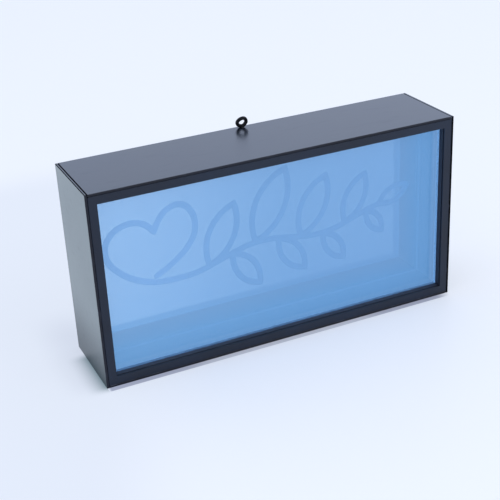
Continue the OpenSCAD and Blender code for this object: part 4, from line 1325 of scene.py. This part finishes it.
@dataclass
class Electronics:
    """Control board with its parts, switch housing, screws, leads and their solder."""

    board_x: float = 52 * MM
    board_z: float = 56 * MM
    board_y: float = 22.4 * MM
    lead_r: float = 0.65 * MM
    bay_x: float = -62 * MM
    tag_y: float = 18.6 * MM
    tag_z: float = 101.1 * MM
    tag_half: float = 22.35 * MM
    lamp_plate_y: float = 11.5 * MM
    lamp_z: float = 60.225 * MM
    can_size: Pair = (3.15 * MM, 5.4 * MM)
    can_at: Pair = (14 * MM, -3 * MM)
    chip_x: float = -3 * MM
    chip_size: Triple = (6 * MM, 4 * MM, 1.6 * MM)
    leg_pitch: float = 1.27 * MM
    leg_r: float = 0.16 * MM
    legs: int = 4
    resistor_from: Pair = (-13 * MM, -7.9 * MM)
    resistor_pitch: float = 7 * MM
    resistors: int = 4

    def routes(self) -> dict[str, np.ndarray]:
        """The four leads as they are laid in the box.

        Returns:
            Each lead's points in metres, by its node's name.
        """
        bx, bz, by = self.board_x / MM, self.board_z / MM, self.board_y / MM
        ty, tz, gap = self.tag_y / MM, self.tag_z / MM, 0.1
        red_x, black_x = (self.bay_x - self.tag_half) / MM, (self.bay_x + self.tag_half) / MM
        mid = (by + self.lamp_plate_y / MM + 1.5) / 2
        hole = bx + 4
        paths = {
            "battery_lead_red": [
                (red_x, ty, tz), (red_x, ty, tz + 4), (red_x + 6, ty, tz + 12), (self.bay_x / MM, ty, tz + 15),
                (self.bay_x / MM + 30, ty, tz + 15), (bx - 44, ty, bz + 34), (bx - 30, ty - 1, bz + 12),
                (bx - 24, ty - 1, bz + 3), (bx - 20.5, by - 3, bz + 2), (bx - 20, by - gap, bz + 2)],
            "battery_lead_black": [
                (black_x, ty, tz), (black_x, ty, tz + 3), (black_x + 5, ty, tz + 8), (black_x + 14, ty, tz + 6),
                (bx - 50, ty, bz + 26), (bx - 38, ty - 1, bz + 8), (bx - 26, ty - 1, bz - 3),
                (bx - 20.5, by - 3, bz - 2), (bx - 20, by - gap, bz - 2)]}
        for name, side in (("lamp_lead_red", 2), ("lamp_lead_black", -2)):
            z = self.lamp_z / MM + side
            paths[name] = [(hole + side, by - gap, bz + 7), (hole + side, by - 2.5, bz + 7),
                           (hole + side / 2, mid, (bz + 7 + z) / 2),
                           (hole, self.lamp_plate_y / MM + 4, z), (hole, self.lamp_plate_y / MM, z)]
        return {name: np.asarray(points) * MM for name, points in paths.items()}

    def capacitor(self) -> Shape:
        """A can capacitor on its foot: a grooved sleeve and a bare top with a rolled edge.

        Returns:
            The capacitor.
        """
        r, h = self.can_size
        return lathe([(0, 0), (r - 0.25 * MM, 0), (r, 0.25 * MM), (r, 0.9 * MM), (r - 0.18 * MM, 1.15 * MM),
                      (r, 1.4 * MM), (r, h - 0.3 * MM), (r - 0.3 * MM, h - 0.02 * MM), (r - 0.7 * MM, h - 0.02 * MM),
                      (r - 0.75 * MM, h - 0.12 * MM), (0, h - 0.12 * MM)], 40, [0] * 7 + [1] * 3)

    def chip(self) -> Shape:
        """A driver chip on the board, with gull-wing legs along both sides.

        A leg leaves the body level, then drops to the board along the eased step t^2 (3 - 2t).

        Returns:
            The chip, which faces the lamps.
        """
        w, h, depth = self.chip_size
        bevel = 0.4 * MM
        body = loft([(w - bevel, h - bevel, 0.1 * MM, 0.15 * MM), (w, h, 0.1 * MM, depth / 2),
                     (w - bevel, h - bevel, 0.1 * MM, depth)], 2)
        t = np.linspace(0, 1, 9)
        step = t * t * (3 - 2 * t)
        legs = [tube(np.stack([np.full_like(t, (k - (self.legs - 1) / 2) * self.leg_pitch),
                               -(0.85 - 0.75 * step) * MM, side * (1.9 + 0.6 * t) * MM], axis=-1),
                     self.leg_r, 6, (1, 0, 0), 1, 1) for side in (-1, 1) for k in range(self.legs)]
        return joined([body.turned(UP_TO_FRONT), *legs])

    def resistor(self) -> Shape:
        """A chip resistor with its two tinned caps, which faces the lamps.

        Returns:
            The resistor.
        """
        body = loft([(1.3 * MM, 1.16 * MM, 0.05 * MM, z) for z in (0.0, 0.56 * MM)], 1)
        cap = loft([(0.36 * MM, 1.2 * MM, 0.06 * MM, z) for z in (0.0, 0.6 * MM)], 2, [1, 1])
        caps = (cap.moved((side * 0.82 * MM, 0, 0)) for side in (-1, 1))
        return joined([body, *caps]).turned(UP_TO_FRONT)

    def parts(self) -> Shape:
        """A can capacitor, a driver chip and a row of resistors, on the board's side towards the lamps.

        Returns:
            All parts in their places.
        """
        origin = np.array([self.board_x, self.board_y, self.board_z])
        one = self.resistor()
        row = (one.moved(origin + (self.resistor_from[0] + k * self.resistor_pitch, 0, self.resistor_from[1]))
               for k in range(self.resistors))
        return joined([self.capacitor().turned(UP_TO_FRONT).moved(origin + (self.can_at[0], 0, self.can_at[1])),
                       self.chip().moved(origin + (self.chip_x, 0, 0)), *row])

    def fillet(self) -> Shape:
        """The solder round one lead, on its foot."""
        return lathe([(0, 0), (1.15 * MM, 0), (1.0 * MM, 0.12 * MM), (0.8 * MM, 0.4 * MM), (0.72 * MM, 0.7 * MM),
                      (0, 0.7 * MM)], 24)

    def build(self) -> None:
        """Dresses the board and makes its parts, the leads and the solder."""
        dress(BoardMask().make(), "control_board")
        dress(BareMetal("board_screw", srgb(196, 198, 202), 0.32).make(), "board_screws")
        dress(BareMetal("tinned_can", srgb(202, 204, 208), 0.26, Lay.ALONG_X).make(), "switch_housing")
        black = MouldedPlastic("part_moulding", srgb(36, 38, 42), 0.45, 2400, 0.006).make()
        tin = BareMetal("part_tin", srgb(206, 207, 210), 0.3).make()
        self.parts().piece("board_parts", [black, tin], "case", "component", ["board_components"])
        insulation = {"red": Insulation("red_insulation", srgb(176, 30, 26)).make(),
                      "black": Insulation("black_insulation", srgb(24, 24, 26)).make()}
        spots = []
        for name, points in self.routes().items():
            colour = name.rsplit("_", 1)[1]
            tube(curve(points, 12), self.lead_r, 16, (0.35, 0.55, 0.76), 2).piece(
                f"wired_{name}", [insulation[colour]], "case", f"{colour}_lead", [name])
            spots.append(points[-1] if name.startswith("battery") else points[0])
        fillet = self.fillet().turned(UP_TO_FRONT)
        solder = BareMetal("solder_tin", srgb(196, 198, 202), 0.22).make()
        joined(fillet.moved((spot[0], self.board_y, spot[2])) for spot in spots).piece(
            "solder_joints", [solder], "case", "component")


# ---------------------------------------------------------------------------------------------
# Studio
# ---------------------------------------------------------------------------------------------


@dataclass
class Studio:
    """Pale floor, soft light and the camera.

    The floor's own colours hold painted shades. The far left is painted darker than the rest, and there more of the
    floor's glow washes out the lamp's cast shadow as painted light. Each painted shadow ends where the box stands,
    whose half width and half depth are reach: a band in front, narrower than the box and stronger near its ends, a
    wide pool beside the left end, and a narrow contact shadow in it.
    """

    camera_at: Triple = (-0.33339, -0.71556, 0.44417)
    azimuth: float = -24.0901
    elevation: float = 25.7854
    roll: float = -2.9302
    lens: float = 80.029
    sensor_w: float = 36.0
    near_clip: float = 0.01
    backdrop: Colour = srgb(216, 227, 253)
    sky: Colour = srgb(240, 246, 255)
    world_strength: float = 1.0
    softbox_at: Triple = (1.1, -1.7, 1.9)
    softbox_size: float = 1.5
    softbox_radiance: float = 2.2
    softbox_aim: Triple = (0.0, 0.0, 0.07)
    floor_half: float = 12.0
    floor_ior: float = 1.3
    pale: Colour = srgb(245, 249, 255)
    floor: Colour = srgb(240, 244, 254)
    # pale_left, floor_left and the extra lift at the far left: painted shade darkens it, and more glow there washes
    # out the lamp's cast shadow as painted light
    pale_left: Colour = srgb(229, 237, 251)
    floor_left: Colour = srgb(233, 238, 253)
    floor_lift: float = 0.34
    shadow_fill_left: float = 0.48
    left_way: Pair = (0.913, -0.408)
    left_from: Pair = (-0.13, -0.03)
    left_till: Pair = (0.36, 0.46)
    reach: Pair = (0.15, 0.035)
    shade: Colour = srgb(0, 38, 118)
    band: Pair = (-5 * MM, -4 * MM)
    band_back: float = 2 * MM
    band_fades: Pair = (3 * MM, 13 * MM)
    band_middle: Pair = (60 * MM, 90 * MM)
    band_shares: Pair = (0.37, 0.53)
    pool_w: Pair = (35 * MM, 30 * MM)
    pool_front: Pair = (-45 * MM, -20 * MM)
    pool_back: Pair = (50 * MM, 110 * MM)
    pool_share: float = 0.11
    contact: Colour = srgb(0, 87, 90)
    contact_w: float = 17 * MM
    contact_under: float = 0.5 * MM
    contact_front: Pair = (-42 * MM, -31 * MM)
    contact_back: Pair = (13 * MM, 24 * MM)
    contact_share: float = 0.68

    def camera(self) -> None:
        """Sets the camera by its azimuth, elevation and roll about the view axis."""
        a, e, r = (math.radians(v) for v in (self.azimuth, self.elevation, self.roll))
        back = Vector((math.sin(a) * math.cos(e), -math.cos(a) * math.cos(e), math.sin(e)))
        right = Vector((0, 0, 1)).cross(back).normalized()
        up = back.cross(right)
        turned_right = right * math.cos(r) + up * math.sin(r)
        turned_up = up * math.cos(r) - right * math.sin(r)
        data = bpy.data.cameras.new("camera")
        data.lens = self.lens
        data.sensor_width = self.sensor_w
        data.clip_start = self.near_clip
        camera = bpy.data.objects.new("camera", data)
        turn = Matrix((turned_right, turned_up, back)).transposed().to_4x4()
        camera.matrix_world = Matrix.Translation(Vector(self.camera_at)) @ turn
        bpy.context.scene.collection.objects.link(camera)
        bpy.context.scene.camera = camera

    def softbox(self) -> None:
        """A square soft lamp that faces the box.

        Its power is pi * size^2 * radiance, so the radiance is how bright its face looks.
        """
        data = bpy.data.lights.new("key_softbox", "AREA")
        data.size = self.softbox_size
        data.energy = math.pi * self.softbox_size ** 2 * self.softbox_radiance
        light = bpy.data.objects.new("key_softbox", data)
        light.location = self.softbox_at
        aim = Vector(self.softbox_aim) - Vector(self.softbox_at)
        light.rotation_euler = aim.to_track_quat("-Z", "Y").to_euler()
        bpy.context.scene.collection.objects.link(light)

    def world(self) -> None:
        """An even pale world; the camera and mirrors see its plain colour."""
        bpy.context.scene.world = bpy.data.worlds.new("studio")
        s = Shader("studio", bpy.context.scene.world)
        lit, plain = (s.add("ShaderNodeBackground", inputs={"Color": colour, "Strength": strength}).outputs[0]
                      for colour, strength in ((self.sky, self.world_strength), (self.backdrop, 1.0)))
        s.close(s.either(s.seen(), lit, plain), "ShaderNodeOutputWorld")

    def shaded(self, x: Signal, y: Signal) -> Signal:
        """How much of the shade's colour the floor takes, in the band and the pool.

        Args:
            x, y: the place on the floor.

        Returns:
            A share from 0 to 1.
        """
        past_left, ahead = x + self.reach[0], y + self.reach[1]
        band = (past_left.spread(0.0, self.band_fades[0]) * (self.reach[0] - x).spread(0.0, self.band_fades[1])
                * ahead.spread(*self.band) * ahead.under(self.band_back))
        pool = (past_left.spread(-self.pool_w[0], 0.0) * y.spread(*self.pool_front)
                * y.fade(*self.pool_back) * past_left.fade(0.0, self.pool_w[1]))
        return (band * abs(x).spread(*self.band_middle, *self.band_shares)).most(pool * self.pool_share)

    def touched(self, x: Signal, y: Signal) -> Signal:
        """How much of the contact shadow's colour the floor takes, which grows by a square towards the box.

        Args:
            x, y: the place on the floor.

        Returns:
            A share from 0 to 1.
        """
        past_left = x + self.reach[0]
        near = (1 + past_left / self.contact_w).most(0.0)
        return (near * near * self.contact_share * past_left.under(self.contact_under)
                * y.spread(*self.contact_front) * y.fade(*self.contact_back))

    def ground(self) -> None:
        """A broad pale tabletop, slightly glossy."""
        s = Shader("tabletop")
        haze = s.noise(5, 3)
        x, y = s.place("X"), s.place("Y")
        # painted light and shade at the far left of the floor
        left = (x * self.left_way[0] + y * self.left_way[1]).fade(*self.left_from) * y.fade(*self.left_till)
        shaded, touched = self.shaded(x, y), self.touched(x, y)
        tones = (s.blend(left, *pair) for pair in ((self.floor, self.floor_left), (self.pale, self.pale_left)))
        floor, pale = (s.blend(shaded, s.blend(touched, tone, self.contact), self.shade) for tone in tones)
        table = s.surface({"Base Color": floor, "Roughness": 0.3 + 0.06 * haze, "IOR": self.floor_ior})
        glow = s.add("ShaderNodeEmission", inputs={"Color": pale, "Strength": 1.0}).outputs[0]
        finish = s.close(s.either(s.seen() * (self.floor_lift + self.shadow_fill_left * left), table, glow))
        half = self.floor_half
        mesh = bpy.data.meshes.new("tabletop")
        mesh.from_pydata([(-half, -half, 0), (half, -half, 0), (half, half, 0), (-half, half, 0)], [], [(0, 1, 2, 3)])
        mesh.materials.append(finish)
        top = bpy.data.objects.new("tabletop", mesh)
        bpy.context.scene.collection.objects.link(top)

    def build(self) -> None:
        """Makes the whole studio."""
        self.camera()
        self.world()
        self.ground()
        self.softbox()
        bpy.context.scene.view_settings.view_transform = "Standard"


def main() -> None:
    """Builds the studio and every sub-assembly."""
    logging.basicConfig(level=logging.INFO, format="%(name)s: %(message)s")
    for part in (Studio(), CaseSheets(), HangingEye(), Front(), LightChamber(), RearFrame(), Bay(), Back(),
                 Electronics()):
        log.info("building %s", type(part).__name__)
        part.build()


if __name__ == "__main__":
    main()
